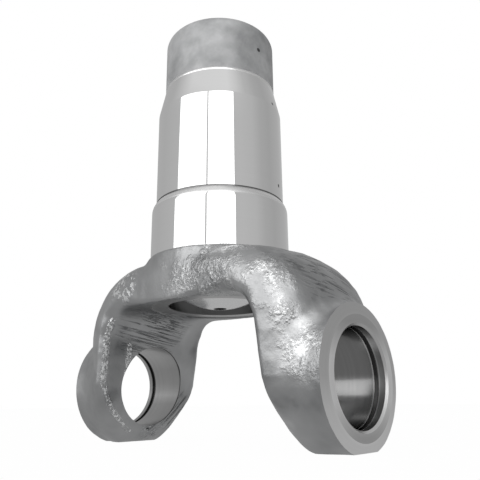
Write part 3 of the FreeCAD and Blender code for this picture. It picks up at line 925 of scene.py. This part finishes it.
def make_grain():
    """Height of a shot-blasted skin: dents at two sizes, with masks of high spots and of broad clouds."""
    group, given, gives = node_group("blasted grain", [("Dents", 900.0)], ["Height", "High Spots", "Clouds"])
    where = objects_own(group)
    coarse = noise(group, where, given.outputs["Dents"], 4.0, 0.62)
    fine = noise(group, where, math_node(group, "MULTIPLY", given.outputs["Dents"], FINE_DENTS), 2.0, 0.5)
    link(group, total(group, [(coarse, 0.7), (fine, 0.3)]), gives.inputs["Height"])
    link(group, spread(group, coarse, *HIGH_SPOTS), gives.inputs["High Spots"])
    link(group, noise(group, where, CLOUD_SCALE, 3.0, 0.5), gives.inputs["Clouds"])
    return group


GRAIN = make_grain()

# %% [markdown]
# A tool that moves along an axis leaves lines across it: noise that changes fast along one axis and
# hardly along the others. A facing tool leaves rings instead, which are noise of the distance from the
# axis it turned about. A Wave texture would be too even for either.

# %% Groups: tool marks and facing marks
BROAD = 0.18


def stretched_place(group, given, labels):
    """The object's own coordinates, each multiplied by the group input of that name."""
    split = split_up(group, objects_own(group))
    join = group.nodes.new("ShaderNodeCombineXYZ")
    for number, label in enumerate(labels):
        stretched = math_node(group, "MULTIPLY", split.outputs[number], given.outputs[label])
        link(group, stretched, join.inputs[number])
    return join.outputs[0]


def give_lines(group, given, gives, place):
    """Feeds the fine lines of a place to Height and broader ones to Streaks."""
    link(group, noise(group, place, given.outputs["Pitch"], 2.0, 0.6), gives.inputs["Height"])
    broad = math_node(group, "MULTIPLY", given.outputs["Pitch"], BROAD)
    link(group, noise(group, place, broad, 2.0, 0.5), gives.inputs["Streaks"])


def make_marks():
    """Straight lines: noise of the coordinates, each stretched by its own factor."""
    axes = [("Along X", 0.02), ("Along Y", 0.02), ("Along Z", 1.0)]
    group, given, gives = node_group("tool marks", [("Pitch", 4000.0), *axes], ["Height", "Streaks"])
    give_lines(group, given, gives, stretched_place(group, given, [label for label, _ in axes]))
    return group


def make_facing():
    """Rings: noise of the distance from an axis, which is the one that isn't kept."""
    axes = [("Keep X", 0.0), ("Keep Y", 1.0), ("Keep Z", 1.0)]
    group, given, gives = node_group("facing marks", [("Pitch", 3000.0), *axes], ["Height", "Streaks"])
    length = group.nodes.new("ShaderNodeVectorMath")
    length.operation = "LENGTH"
    link(group, stretched_place(group, given, [label for label, _ in axes]), length.inputs[0])
    ring = group.nodes.new("ShaderNodeCombineXYZ")
    link(group, length.outputs["Value"], ring.inputs[0])
    give_lines(group, given, gives, ring.outputs[0])
    return group


MARKS = make_marks()
FACING = make_facing()

# %% [markdown]
# Grinding off the flash left single scratches. Drawn-out noise has long thin peaks, and only these are
# kept.


# %% Group: scratches
SQUASHED = 0.4
DRAWN_OUT = 0.016
PEAK_FOOT = 0.51
PEAK_TOP = 0.60


def make_scratches():
    """Single scratches that run along Y, falling by Tilt: the peaks of drawn-out noise, cut off sharply."""
    group, given, gives = node_group("scratches", [("Lines", 1500.0), ("Tilt", 0.0)], ["Scratch"])
    split = split_up(group, objects_own(group))
    fall = math_node(group, "MULTIPLY", split.outputs["Y"], given.outputs["Tilt"])
    join = group.nodes.new("ShaderNodeCombineXYZ")
    link(group, math_node(group, "MULTIPLY", split.outputs["X"], SQUASHED), join.inputs[0])
    link(group, math_node(group, "MULTIPLY", split.outputs["Y"], DRAWN_OUT), join.inputs[1])
    link(group, math_node(group, "ADD", split.outputs["Z"], fall), join.inputs[2])
    lines = noise(group, join.outputs[0], given.outputs["Lines"], 2.0, 0.55)
    link(group, spread(group, lines, PEAK_FOOT, PEAK_TOP), gives.inputs["Scratch"])
    return group


SCRATCHES = make_scratches()

# %% [markdown]
# Wear sits in patches with no clear rim. A soft spot is a mask round one point, and a chain of them
# follows an edge. A second small group turns a height on the object into a share, for tones that change
# from top to bottom.


# %% Groups: soft spot and height share
RIM_SCALE = 260.0
RIM_NOISE = 0.9
SPOT_FULL = 0.85
SPOT_GONE = 1.45


def make_spot():
    """1 at a point, given in metres, fading to 0 at Radius with a noisy rim."""
    given_inputs = [("X", 0.0), ("Y", 0.0), ("Z", 0.0), ("Radius", 0.01)]
    group, given, gives = node_group("soft spot", given_inputs, ["Mask"])
    point = group.nodes.new("ShaderNodeCombineXYZ")
    for label in "XYZ":
        link(group, given.outputs[label], point.inputs[label])
    where = objects_own(group)
    away = group.nodes.new("ShaderNodeVectorMath")
    away.operation = "DISTANCE"
    link(group, where, away.inputs[0])
    link(group, point.outputs[0], away.inputs[1])
    share = math_node(group, "DIVIDE", away.outputs["Value"], given.outputs["Radius"])
    noisy = total(group, [(share, 1.0), (noise(group, where, RIM_SCALE, 3.0, 0.6), RIM_NOISE)])
    link(group, spread(group, noisy, SPOT_FULL, SPOT_GONE, 1.0, 0.0), gives.inputs["Mask"])
    return group


def make_height_share():
    """0 at the height Low, 1 at High, straight between and held outside: (height - Low) / (High - Low)."""
    group, given, gives = node_group("height share", [("Low", -0.02), ("High", 0.02)], ["Share"])
    share = group.nodes.new("ShaderNodeMapRange")
    link(group, split_up(group, objects_own(group)).outputs["Z"], share.inputs["Value"])
    link(group, given.outputs["Low"], share.inputs["From Min"])
    link(group, given.outputs["High"], share.inputs["From Max"])
    link(group, share.outputs["Result"], gives.inputs["Share"])
    return group


SPOT = make_spot()
HEIGHT_SHARE = make_height_share()

# %% [markdown]
# ## Materials
# Every finish is a metal material with one Principled shader. The groups give it masks and heights,
# ramps turn them into greys, and a Bump node turns a height into a tilt of the surface. Real
# displacement would need far more triangles for marks this fine.


# %% Material helpers
def use(tree, group, **values):
    """Places a group in a material and sets its named inputs; an underscore stands for a space."""
    node = tree.nodes.new("ShaderNodeGroup")
    node.node_tree = group
    for label, value in values.items():
        node.inputs[label.replace("_", " ")].default_value = value
    return node


def steel(name, metallic=1.0, rim=1.0):
    """A new metal material: its tree and its shader. Rim is how bright it stays at a grazing view."""
    material = bpy.data.materials.new(name)
    material.use_nodes = True
    tree = material.node_tree
    shader = tree.nodes["Principled BSDF"]
    shader.inputs["Metallic"].default_value = metallic
    shader.inputs["Specular Tint"].default_value = (rim, rim, rim, 1)
    print("finish:", name)
    return material, tree, shader


def grey_ramp(tree, value, stops):
    """Colour from a value by stops of (place, grey or colour)."""
    node = tree.nodes.new("ShaderNodeValToRGB")
    ramp_stops = node.color_ramp.elements
    while len(ramp_stops) < len(stops):
        ramp_stops.new(0.5)
    for stop, (place, colour) in zip(ramp_stops, stops):
        stop.position = place
        stop.color = (*colour, 1) if isinstance(colour, tuple) else (colour, colour, colour, 1)
    link(tree, value, node.inputs["Fac"])
    return node.outputs["Color"]


def bump(tree, height, shader, distance):
    """Feeds a height to the shader's normal; distance is the height of 1, in metres."""
    node = tree.nodes.new("ShaderNodeBump")
    node.inputs["Distance"].default_value = distance
    link(tree, height, node.inputs["Height"])
    link(tree, node.outputs["Normal"], shader.inputs["Normal"])


def spot_mask(tree, place, radius):
    """Mask of one soft spot, its place and radius in millimetres."""
    x, y, z = (value * MM for value in place)
    return use(tree, SPOT, X=x, Y=y, Z=z, Radius=radius * MM).outputs["Mask"]


# %% [markdown]
# ## The skin of the forging
# The skin is dull grey with soft clouds. Blasting glints on the hub and down the front of the right arm,
# where the glints are also painted lighter. A painted highlight runs down the ridge of that arm, painted
# shade darkens a few hollows and the inner face of the left arm, painted light brightens the outer side
# of the left boss and a few edges, and grinding scratches cross both arms. Painting a mask by hand would
# fix it to one mesh, so each patch is a chain of soft spots, with its places and radii in millimetres.

# %% Where the skin is worn, and where light and shade are painted on it
# Where the blasting glints: its grain stands higher, the skin is less rough, and glints are painted lighter.
BLASTED = [((20.0, -31.0, 42.0), 24.0), ((47.0, -27.0, 34.0), 12.0)]
BLASTED += [((53.0, -26.0, 20.0), 7.0), ((59.0, -25.0, 8.0), 10.0)]
# A painted highlight down the ridge of the right arm and in the valley below it, where the skin is also less
# rough.
RIDGE_HIGHLIGHT = [((44.0, -26.8, 39.5), 3.5), ((46.5, -27.0, 36.5), 3.5), ((48.5, -27.2, 33.0), 3.5)]
RIDGE_HIGHLIGHT += [((50.0, -27.4, 29.5), 3.5), ((51.5, -27.2, 25.5), 3.5), ((52.5, -27.0, 21.5), 3.5)]
RIDGE_HIGHLIGHT += [((58.5, -25.2, 9.0), 4.0)]
# Painted shade on the inner face of the left arm and low on the right arm.
SHADED = [((-40.4, -21.0, 25.0), 5.0), ((-41.6, -21.0, 15.0), 5.0), ((-42.8, -21.0, 5.0), 5.0)]
SHADED += [((-43.8, -21.0, -4.0), 5.0), ((46.5, -29.0, 10.0), 6.0), ((47.5, -28.5, 1.0), 6.0)]
SHADED += [((51.0, -25.5, -7.0), 7.0)]
# Painted light on the outer side of the left boss, down the front edge of the left arm and along an edge of
# the right arm.
PAINTED_LIGHT_SPOTS = [((-60.0, -25.0, 0.0), 13.0), ((-44.0, -30.0, 27.0), 5.0), ((-47.4, -29.2, 19.0), 5.0)]
PAINTED_LIGHT_SPOTS += [((-46.5, -29.0, 10.0), 5.0), ((57.5, -23.0, 17.2), 4.5), ((59.9, -19.3, 20.3), 4.5)]
PAINTED_LIGHT_SPOTS += [((62.2, -14.8, 22.3), 4.5), ((65.0, -11.0, 23.5), 4.5)]
# Each scratched patch has a place, a radius, a tilt and a number of lines.
SCRATCHED = [
    ((52.0, 0.0, 40.0), 23.0, 0.23, 1000.0),
    ((-38.0, -4.0, 26.0), 20.0, 0.12, 1900.0),
    ((-46.0, 16.0, -12.0), 12.0, -0.9, 1300.0),
    ((-46.0, 2.0, -21.0), 6.0, -0.9, 1300.0),
]
STAMPED = (-28.7, -30.0, 41.2)
STAMP_RADIUS = 9.0
STROKE_SHAPE = (1.0, 0.5, 0.9)
STROKE_SCALE = 500.0
STROKE_EDGE = (0.50, 0.53)
CRUMB_SCALE = 900.0
CRUMB_EDGE = (0.47, 0.55)
SHINE_EDGE = (0.15, 0.45)
print("soft spots on the skin:", sum(len(spots) for spots in (BLASTED, RIDGE_HIGHLIGHT, SHADED, PAINTED_LIGHT_SPOTS)))


# %% Masks of the skin
def any_spot(tree, spots):
    """Mask of a chain of soft spots."""
    return largest(tree, [spot_mask(tree, *spot) for spot in spots])


def skin_scratches(tree):
    """Scratches in each of the scratched patches."""
    scratched = []
    for place, radius, tilt, density in SCRATCHED:
        lines = use(tree, SCRATCHES, Lines=density, Tilt=tilt).outputs["Scratch"]
        scratched.append(math_node(tree, "MULTIPLY", lines, spot_mask(tree, place, radius)))
    return largest(tree, scratched)


def worn_stamp(tree, where):
    """Worn stamping on the shoulder of the left arm, kept as broken strokes that spell nothing."""
    drawn = noise(tree, multiplied(tree, where, STROKE_SHAPE), STROKE_SCALE, 1.0)
    strokes = spread(tree, drawn, *STROKE_EDGE)
    return math_node(tree, "MULTIPLY", strokes, spot_mask(tree, STAMPED, STAMP_RADIUS))


def bare_burr(tree, where):
    """Flash and burr left bare by trimming: the mesh carries where, and a noise breaks the line up."""
    bare = tree.nodes.new("ShaderNodeAttribute")
    bare.attribute_name = "shine"
    crumbs = spread(tree, noise(tree, where, CRUMB_SCALE, 2.0, 0.6), *CRUMB_EDGE)
    return spread(tree, math_node(tree, "MULTIPLY", bare.outputs["Fac"], crumbs), *SHINE_EDGE)


# %% [markdown]
# One number, the tone, adds up everything that makes the skin lighter or darker, the painted glints,
# highlight, light and shade among them, each with its own weight, and a colour ramp turns it into grey.
# The same masks lower the roughness where the skin is worn smooth and raise or sink the bump, so that
# colour, gloss and relief agree with each other.

# %% Forged skin
SKIN_TONES = [(0.25, (0.22, 0.225, 0.23)), (0.40, (0.41, 0.415, 0.42))]
SKIN_TONES += [(0.65, (0.52, 0.525, 0.53)), (1.0, (0.94, 0.95, 0.955))]
SKIN_DULL = 0.34
SKIN_GLOSSY = 0.17
SKIN_BUMP = 0.0006
PATCH_SCALE = 150.0
PATCH_EDGE = (0.42, 0.56)
BETWEEN_PATCHES = 0.15
BLASTED_RISE = 0.9
SKIN_RISE = 0.12


def make_skin():
    """Forged skin: a ramp of the weighted sum of clouds, scratches, bare metal, painted glints, light and
    shade.
    """
    material, tree, shader = steel("forged_skin")
    grain = use(tree, GRAIN, Dents=950.0)
    where = objects_own(tree)
    clumps = noise(tree, where, PATCH_SCALE, 3.0, 0.6)
    patches = spread(tree, clumps, *PATCH_EDGE, BETWEEN_PATCHES, 1.0)
    blasted = math_node(tree, "MULTIPLY", any_spot(tree, BLASTED), patches)
    ridge = any_spot(tree, RIDGE_HIGHLIGHT)
    painted_light = any_spot(tree, PAINTED_LIGHT_SPOTS)
    shaded = any_spot(tree, SHADED)
    scratch = skin_scratches(tree)
    stamp = worn_stamp(tree, where)
    burr = bare_burr(tree, where)
    bright = math_node(tree, "MAXIMUM", stamp, burr)
    # Painted glints: the high spots of the grain, made lighter in the colour where the blasting glints.
    painted_glint = math_node(tree, "MULTIPLY", grain.outputs["High Spots"], blasted)

    # The painted glints, the ridge highlight and the painted light make the skin lighter; the scratches
    # darken it and the shaded spots paint shade.
    lighter = [(grain.outputs["Clouds"], 1.0), (painted_glint, 0.45), (bright, 0.9), (ridge, 0.21), (painted_light, 0.16)]
    darker = [(scratch, -0.28), (shaded, -0.13)]
    link(tree, grey_ramp(tree, total(tree, lighter + darker), SKIN_TONES), shader.inputs["Base Color"])
    smooth = largest(tree, [blasted, bright, ridge])
    link(tree, spread(tree, smooth, 0.0, 1.0, SKIN_DULL, SKIN_GLOSSY), shader.inputs["Roughness"])

    rise = math_node(tree, "ADD", math_node(tree, "MULTIPLY", blasted, BLASTED_RISE), SKIN_RISE)
    grains = math_node(tree, "MULTIPLY", grain.outputs["Height"], rise)
    height = total(tree, [(grains, 1.0), (scratch, 0.75), (stamp, 1.2), (burr, 1.3)])
    bump(tree, height, shader, SKIN_BUMP)
    return material


# %% [markdown]
# ## The ground barrel and its end
# Grinding leaves the barrel a near mirror, with marks too fine to see one by one: they only soften the
# edges of a reflection. A mirror with no marks at all would look like chrome. The barrel also has three
# tiny dark specks. Its end was only turned and handled, so it is dull, cloudy and less like bare metal,
# with one speck.

# %% Ground barrel
# Noise mostly stays between these two values.
MIDDLE = (0.3, 0.7)
MICRON = 0.000001
ROUND_BARREL = dict(Along_X=0.01, Along_Y=0.01, Along_Z=1.0)
SPECK = 1.0
BARREL_SPECKS = [(28.07, 4.94, 121.2), (27.29, 8.2, 82.55), (28.08, 2.6, 126.0)]


def specks(tree, places):
    """Mask of small dark specks."""
    return any_spot(tree, [(place, SPECK) for place in places])


def make_ground():
    """Ground steel: nearly a mirror, with faint streaks round the barrel and dark specks."""
    material, tree, shader = steel("ground_steel")
    marks = use(tree, MARKS, Pitch=5200.0, **ROUND_BARREL)
    tone = total(tree, [(marks.outputs["Streaks"], 1.0), (specks(tree, BARREL_SPECKS), -1.0)])
    colour = grey_ramp(tree, tone, [(0.0, 0.05), (0.25, 0.875), (0.7, 0.885)])
    link(tree, colour, shader.inputs["Base Color"])
    link(tree, spread(tree, marks.outputs["Streaks"], *MIDDLE, 0.025, 0.035), shader.inputs["Roughness"])
    bump(tree, marks.outputs["Height"], shader, 0.2 * MICRON)
    return material


# %% Turned end of the barrel
END_SPECKS = [(25.7, -1.66, 146.8)]
END_TONES = [(0.0, 0.05), (0.32, (0.33, 0.335, 0.34)), (0.62, (0.53, 0.535, 0.54))]
END_METALLIC = 0.35


def make_turned():
    """Turned and handled steel: a ramp of cloudy noise, less the speck."""
    material, tree, shader = steel("turned_steel", END_METALLIC)
    marks = use(tree, MARKS, Pitch=2600.0, **ROUND_BARREL)
    cloud = noise(tree, objects_own(tree), 60.0, 4.0, 0.6)
    tone = total(tree, [(cloud, 1.0), (specks(tree, END_SPECKS), -1.0)])
    link(tree, grey_ramp(tree, tone, END_TONES), shader.inputs["Base Color"])
    link(tree, spread(tree, cloud, *MIDDLE, 0.62, 0.5), shader.inputs["Roughness"])
    bump(tree, marks.outputs["Height"], shader, 6 * MICRON)
    return material


# %% [markdown]
# ## Bored, faced and broached surfaces
# Every other cut surface is one grey and one roughness, both varied a little by the marks of its tool.
# Marks that run in rings throw the light sideways in some places and up or down in others, so a pad
# looks darker at its top and bottom than at its sides. Anisotropic shading would do this where the whole
# room is modelled. Here this light and shade is painted into the grey, which follows the height instead,
# and in the bores painted bands of light and shade follow the height in the same way. Where a bore meets
# the wall of the gap, a thin dark line is painted into the grey.

# %% Tones by height
# Painted light and shade: the share of the grey by height, on the pads, the bevels and the two bores.
FACE_SHADE = [(-20.0, 0.58), (-8.0, 1.0), (6.0, 1.0), (18.0, 0.57)]
BEVEL_SHADE = [(-20.0, 0.92), (-10.0, 0.85), (0.0, 0.68), (20.0, 0.65)]
BORE_SHADE = [(-16.0, 1.0), (-8.0, 1.0), (-4.0, 0.8), (2.0, 0.6), (16.0, 0.6)]
WALL_SHADE = [(-16.0, 0.75), (-8.0, 0.76), (-4.0, 1.0), (-1.0, 0.8), (8.0, 0.76), (14.0, 0.93), (17.4, 0.95)]
# A thin dark line painted into the grey where a bore meets the leaning wall of the gap.
EDGE_LINE_TONE = 0.2
EDGE_LINE_START = 0.6
EDGE_LINE_END = 1.1


def by_height(tree, stops):
    """A share that changes with the height, from stops of (height in mm, share)."""
    low, high = stops[0][0], stops[-1][0]
    place = use(tree, HEIGHT_SHARE, Low=low * MM, High=high * MM).outputs["Share"]
    return grey_ramp(tree, place, [((height - low) / (high - low), share) for height, share in stops])


def painted_edge_line(tree):
    """1 on a bore wall, and a low share that paints a dark line where it meets the leaning wall of the gap.
    """
    parts = split_up(tree, objects_own(tree))
    out = math_node(tree, "ABSOLUTE", parts.outputs["X"])
    upright = math_node(tree, "ADD", out, math_node(tree, "MULTIPLY", parts.outputs["Z"], LEAN))
    start = (EAR_GAP + EDGE_LINE_START) * MM
    end = (EAR_GAP + EDGE_LINE_END) * MM
    return spread(tree, upright, start, end, EDGE_LINE_TONE, 1.0)


# %% Machined steel
BORING = dict(group=MARKS, Pitch=3000.0, Along_X=1.0, Along_Y=0.02, Along_Z=0.02)
BROACHING = dict(group=MARKS, Pitch=1800.0, Along_X=1.0, Along_Y=1.0, Along_Z=0.02)
TURNING = dict(group=MARKS, Pitch=2600.0, **ROUND_BARREL)
FACING_EARS = dict(group=FACING, Pitch=2200.0)
FACING_SADDLE = dict(group=FACING, Pitch=2200.0, Keep_X=1.0, Keep_Y=1.0, Keep_Z=0.0)
GREY_VARIES = 0.06
ROUGH_VARIES = 0.1


def make_machined(name, grey, rough, marks, microns, rim=1.0, shade=None, mouth=False):
    """A cut surface: grey and roughness varied a little by its tool's marks; shade and mouth paint light and
    shade.
    """
    material, tree, shader = steel(name, rim=rim)
    node = use(tree, **marks)
    greys = (grey * (1 - GREY_VARIES), grey * (1 + GREY_VARIES))
    colour = grey_ramp(tree, node.outputs["Streaks"], list(zip(MIDDLE, greys)))
    if shade:
        colour = multiplied(tree, colour, by_height(tree, shade))
    if mouth:
        colour = multiplied(tree, colour, painted_edge_line(tree))
    link(tree, colour, shader.inputs["Base Color"])
    roughs = (rough * (1 - ROUGH_VARIES), rough * (1 + ROUGH_VARIES))
    varied = spread(tree, node.outputs["Streaks"], *MIDDLE, *roughs)
    link(tree, varied, shader.inputs["Roughness"])
    bump(tree, node.outputs["Height"], shader, microns * MICRON)
    return material


# %% [markdown]
# The plug is bright pressed sheet. It has no tool marks, only a faint unevenness from the press, so
# plain noise is enough.

# %% Pressed steel
PRESSED_TONES = [(0.3, (0.945, 0.95, 0.95)), (0.7, (0.965, 0.97, 0.97))]


def make_plug_steel():
    """Pressed steel: bright, with faint clouds in its grey and roughness."""
    material, tree, shader = steel("pressed_steel")
    cloud = noise(tree, objects_own(tree), 160.0, 4.0, 0.6)
    link(tree, grey_ramp(tree, cloud, PRESSED_TONES), shader.inputs["Base Color"])
    link(tree, spread(tree, cloud, *MIDDLE, 0.28, 0.25), shader.inputs["Roughness"])
    bump(tree, noise(tree, objects_own(tree), 1500.0, 2.0), shader, 20 * MICRON)
    return material


# %% Finishes in the order of the zones
# A cut surface has a name, a grey, a roughness, the marks of its tool and their height in microns.
finishes = [
    make_skin(),
    make_ground(),
    make_turned(),
    # The right bore's darker grey is painted shade; the lighter satin grey of the left bore is painted
    # light.
    make_machined("bored_steel_painted_shade", 0.42, 0.2, BORING, 1.5, rim=0.2, shade=BORE_SHADE),
    # The groove's dark grey is painted shade.
    make_machined("groove_steel_painted_shade", 0.18, 0.25, BORING, 1.5),
    make_machined("faced_steel", 0.94, 0.30, FACING_EARS, 12, shade=FACE_SHADE),
    make_machined("bevelled_steel", 0.97, 0.32, FACING_EARS, 8, shade=BEVEL_SHADE),
    make_machined("spot_faced_steel", 0.60, 0.35, FACING_SADDLE, 8),
    # The seat's dark grey is painted shade.
    make_machined("seat_steel_painted_shade", 0.16, 0.30, BROACHING, 4),
    make_machined("broached_steel", 0.50, 0.35, BROACHING, 10),
    make_machined("satin_bore_steel_painted_light_and_shade", 0.58, 0.30, BORING, 1.5, shade=WALL_SHADE, mouth=True),
    make_machined("turned_round_steel", 0.97, 0.28, TURNING, 2),
]
for finish in finishes:
    forging.data.materials.append(finish)
plug.data.materials.append(make_plug_steel())
# A near black grey paints the shade inside the vent hole.
plug.data.materials.append(make_machined("vent_wall_painted_shade", 0.06, 0.4, FACING_SADDLE, 2))
print("finishes on the yoke:", len(forging.data.materials), "and on the plug:", len(plug.data.materials))

# %% [markdown]
# ## Studio
# The photograph was taken from below and close by, so the barrel narrows towards its top. A camera set
# by eye would never match it. This one was fitted to the circles and edges that can be measured in the
# picture: its lens, its place in millimetres, and the directions to its right and straight ahead.

# %% Camera
FOCAL_PIXELS = 557.0
PICTURE_PIXELS = 480.0
CAMERA_PLACE = Vector((163.0, -173.9, -8.1))
CAMERA_RIGHT = Vector((0.7526, 0.6584, -0.0104))
CAMERA_AHEAD = Vector((-0.6297, 0.7242, 0.2810))
NEAREST = 0.01

scene = bpy.context.scene
camera_data = bpy.data.cameras.new("camera")
camera_data.sensor_width = 36.0
camera_data.lens = FOCAL_PIXELS / PICTURE_PIXELS * camera_data.sensor_width
camera_data.clip_start = NEAREST
camera = bpy.data.objects.new("camera", camera_data)
scene.collection.objects.link(camera)
ahead = CAMERA_AHEAD.normalized()
up = CAMERA_RIGHT.normalized().cross(ahead).normalized()
right = ahead.cross(up)
turn = Matrix((right, up, -ahead)).transposed().to_4x4()
camera.matrix_world = Matrix.Translation(CAMERA_PLACE * MM) @ turn
scene.camera = camera
print(f"lens {camera_data.lens:.1f} mm, {(CAMERA_PLACE * MM).length:.2f} m from the origin")

# %% [markdown]
# Bright metal shows what stands round it, so the light is laid out like the one in the picture: two tall
# soft boxes side by side to the left of the camera, a hair apart, whose white band and thin dark line
# run down the ground barrel. They are area lamps, which light the metal and show in it, but the camera
# doesn't see them.

# %% Soft boxes
BOX_DISTANCE = 1.2
BOX_BOTTOM = 0.05
BOX_TOP = 1.35


def heading(azimuth):
    """Level direction from the yoke at an azimuth in degrees; 0 is towards -Y and 90 towards +X."""
    angle = math.radians(azimuth)
    return Vector((math.sin(angle), -math.cos(angle), 0))


def soft_box(name, start, end, radiance):
    """An upright area lamp that fills the azimuths from start to end."""
    middle = (start + end) / 2
    width = 2 * BOX_DISTANCE * math.tan(math.radians((end - start) / 2))
    lamp = bpy.data.lights.new(name, "AREA")
    lamp.shape = "RECTANGLE"
    lamp.size = width
    lamp.size_y = BOX_TOP - BOX_BOTTOM
    lamp.energy = radiance * math.pi * width * (BOX_TOP - BOX_BOTTOM)
    box = bpy.data.objects.new(name, lamp)
    scene.collection.objects.link(box)
    box.location = heading(middle) * BOX_DISTANCE + Vector((0, 0, (BOX_BOTTOM + BOX_TOP) / 2))
    box.rotation_mode = "QUATERNION"
    box.rotation_quaternion = heading(middle).to_track_quat("Z", "Y")
    box.visible_camera = False
    print(f"{name}: {width:.2f} m wide, {lamp.energy:.1f} W")


soft_box("soft_box_left", -36.2, 19.2, 1.06)
soft_box("soft_box_right", 21.8, 68.4, 1.2)

# %% [markdown]
# The rest of the room is the world. Its walls are grey, a little lighter on one side than on the other,
# and the ceiling glows softly in front. A panorama of a real room could show them, but a ramp round the
# azimuth is enough for metal this plain. Camera rays see plain white instead.

# %% Room
WALLS = [(-180, 0.43), (-155, 0.50), (-125, 0.43), (-80, 0.43), (-43, 0.47)]
WALLS += [(80, 0.51), (105, 0.48), (124, 0.41), (146, 0.38), (180, 0.43)]
CEILING_GLOW = [(-70, 0.0), (-25, 0.22), (60, 0.22), (100, 0.0)]
GLOW_START = 0.55
GLOW_END = 0.78


def background(tree):
    """A Background shader of plain white, whose colour can be linked."""
    node = tree.nodes.new("ShaderNodeBackground")
    node.inputs["Strength"].default_value = 1.0
    node.inputs["Color"].default_value = (1, 1, 1, 1)
    return node


def by_azimuth(tree, around, levels):
    """Grey of the room by azimuth, from pairs of (degrees, level)."""
    return grey_ramp(tree, around, [((degrees + 180) / 360, grey) for degrees, grey in levels])


world = bpy.data.worlds.new("room")
scene.world = world
world.use_nodes = True
tree = world.node_tree
tree.nodes.clear()
out = tree.nodes.new("ShaderNodeOutputWorld")
seen = background(tree)
room = background(tree)
ray = tree.nodes.new("ShaderNodeLightPath")
mix = tree.nodes.new("ShaderNodeMixShader")
link(tree, ray.outputs["Is Camera Ray"], mix.inputs["Fac"])
link(tree, room.outputs[0], mix.inputs[1])
link(tree, seen.outputs[0], mix.inputs[2])
link(tree, mix.outputs[0], out.inputs["Surface"])

parts = split_up(tree, tree.nodes.new("ShaderNodeTexCoord").outputs["Generated"])
towards = math_node(tree, "MULTIPLY", parts.outputs["Y"], -1.0)
azimuth = math_node(tree, "ARCTAN2", parts.outputs["X"], towards)
around = spread(tree, azimuth, -math.pi, math.pi)
high_up = spread(tree, parts.outputs["Z"], GLOW_START, GLOW_END)
glow = tree.nodes.new("ShaderNodeVectorMath")
glow.operation = "MULTIPLY_ADD"
link(tree, by_azimuth(tree, around, CEILING_GLOW), glow.inputs[0])
link(tree, high_up, glow.inputs[1])
link(tree, by_azimuth(tree, around, WALLS), glow.inputs[2])
link(tree, glow.outputs[0], room.inputs["Color"])
print("room:", len(WALLS), "wall greys,", len(tree.nodes), "nodes")

# %% [markdown]
# The yoke stands on a plain pale floor that runs out to white. To the camera it is nearly all plain
# white, with a trace of paint that keeps the shadow. In the metal it shows as an even grey, and only the
# light that bounces off it for real comes from the paint.

# %% Floor
FLOOR_HALF = 3.0
FLOOR_PAINT = 0.8
FLOOR_IN_METAL = 0.42
FLOOR_SEEN_PLAIN = 0.985

corners = np.array([(-1, -1, 0), (1, -1, 0), (1, 1, 0), (-1, 1, 0)])
floor = mesh_object("floor", corners * FLOOR_HALF / MM + np.array([0, 0, FOOT]), [(0, 1, 2, 3)])
material = bpy.data.materials.new("pale_floor")
material.use_nodes = True
tree = material.node_tree
tree.nodes.clear()
out = tree.nodes.new("ShaderNodeOutputMaterial")
paint = tree.nodes.new("ShaderNodeBsdfDiffuse")
paint.inputs["Color"].default_value = (FLOOR_PAINT, FLOOR_PAINT, FLOOR_PAINT, 1)
ray = tree.nodes.new("ShaderNodeLightPath")
plain = tree.nodes.new("ShaderNodeEmission")
plain_tone = grey_ramp(tree, ray.outputs["Is Camera Ray"], [(0.0, FLOOR_IN_METAL), (1.0, 1.0)])
link(tree, plain_tone, plain.inputs["Color"])
in_metal = math_node(tree, "MAXIMUM", ray.outputs["Is Glossy Ray"], ray.outputs["Is Transmission Ray"])
seen_plain = math_node(tree, "MULTIPLY", ray.outputs["Is Camera Ray"], FLOOR_SEEN_PLAIN)
mix = tree.nodes.new("ShaderNodeMixShader")
link(tree, math_node(tree, "MAXIMUM", seen_plain, in_metal), mix.inputs["Fac"])
link(tree, paint.outputs[0], mix.inputs[1])
link(tree, plain.outputs[0], mix.inputs[2])
link(tree, mix.outputs[0], out.inputs["Surface"])
floor.data.materials.append(material)
print(f"floor: {2 * FLOOR_HALF:.0f} m wide, at {FOOT:.1f} mm")

scene.view_settings.view_transform = "Standard"

# %% [markdown]
# ## Last update
# The view layer is updated once more at the end.

# %% Update the view layer
bpy.context.view_layer.update()
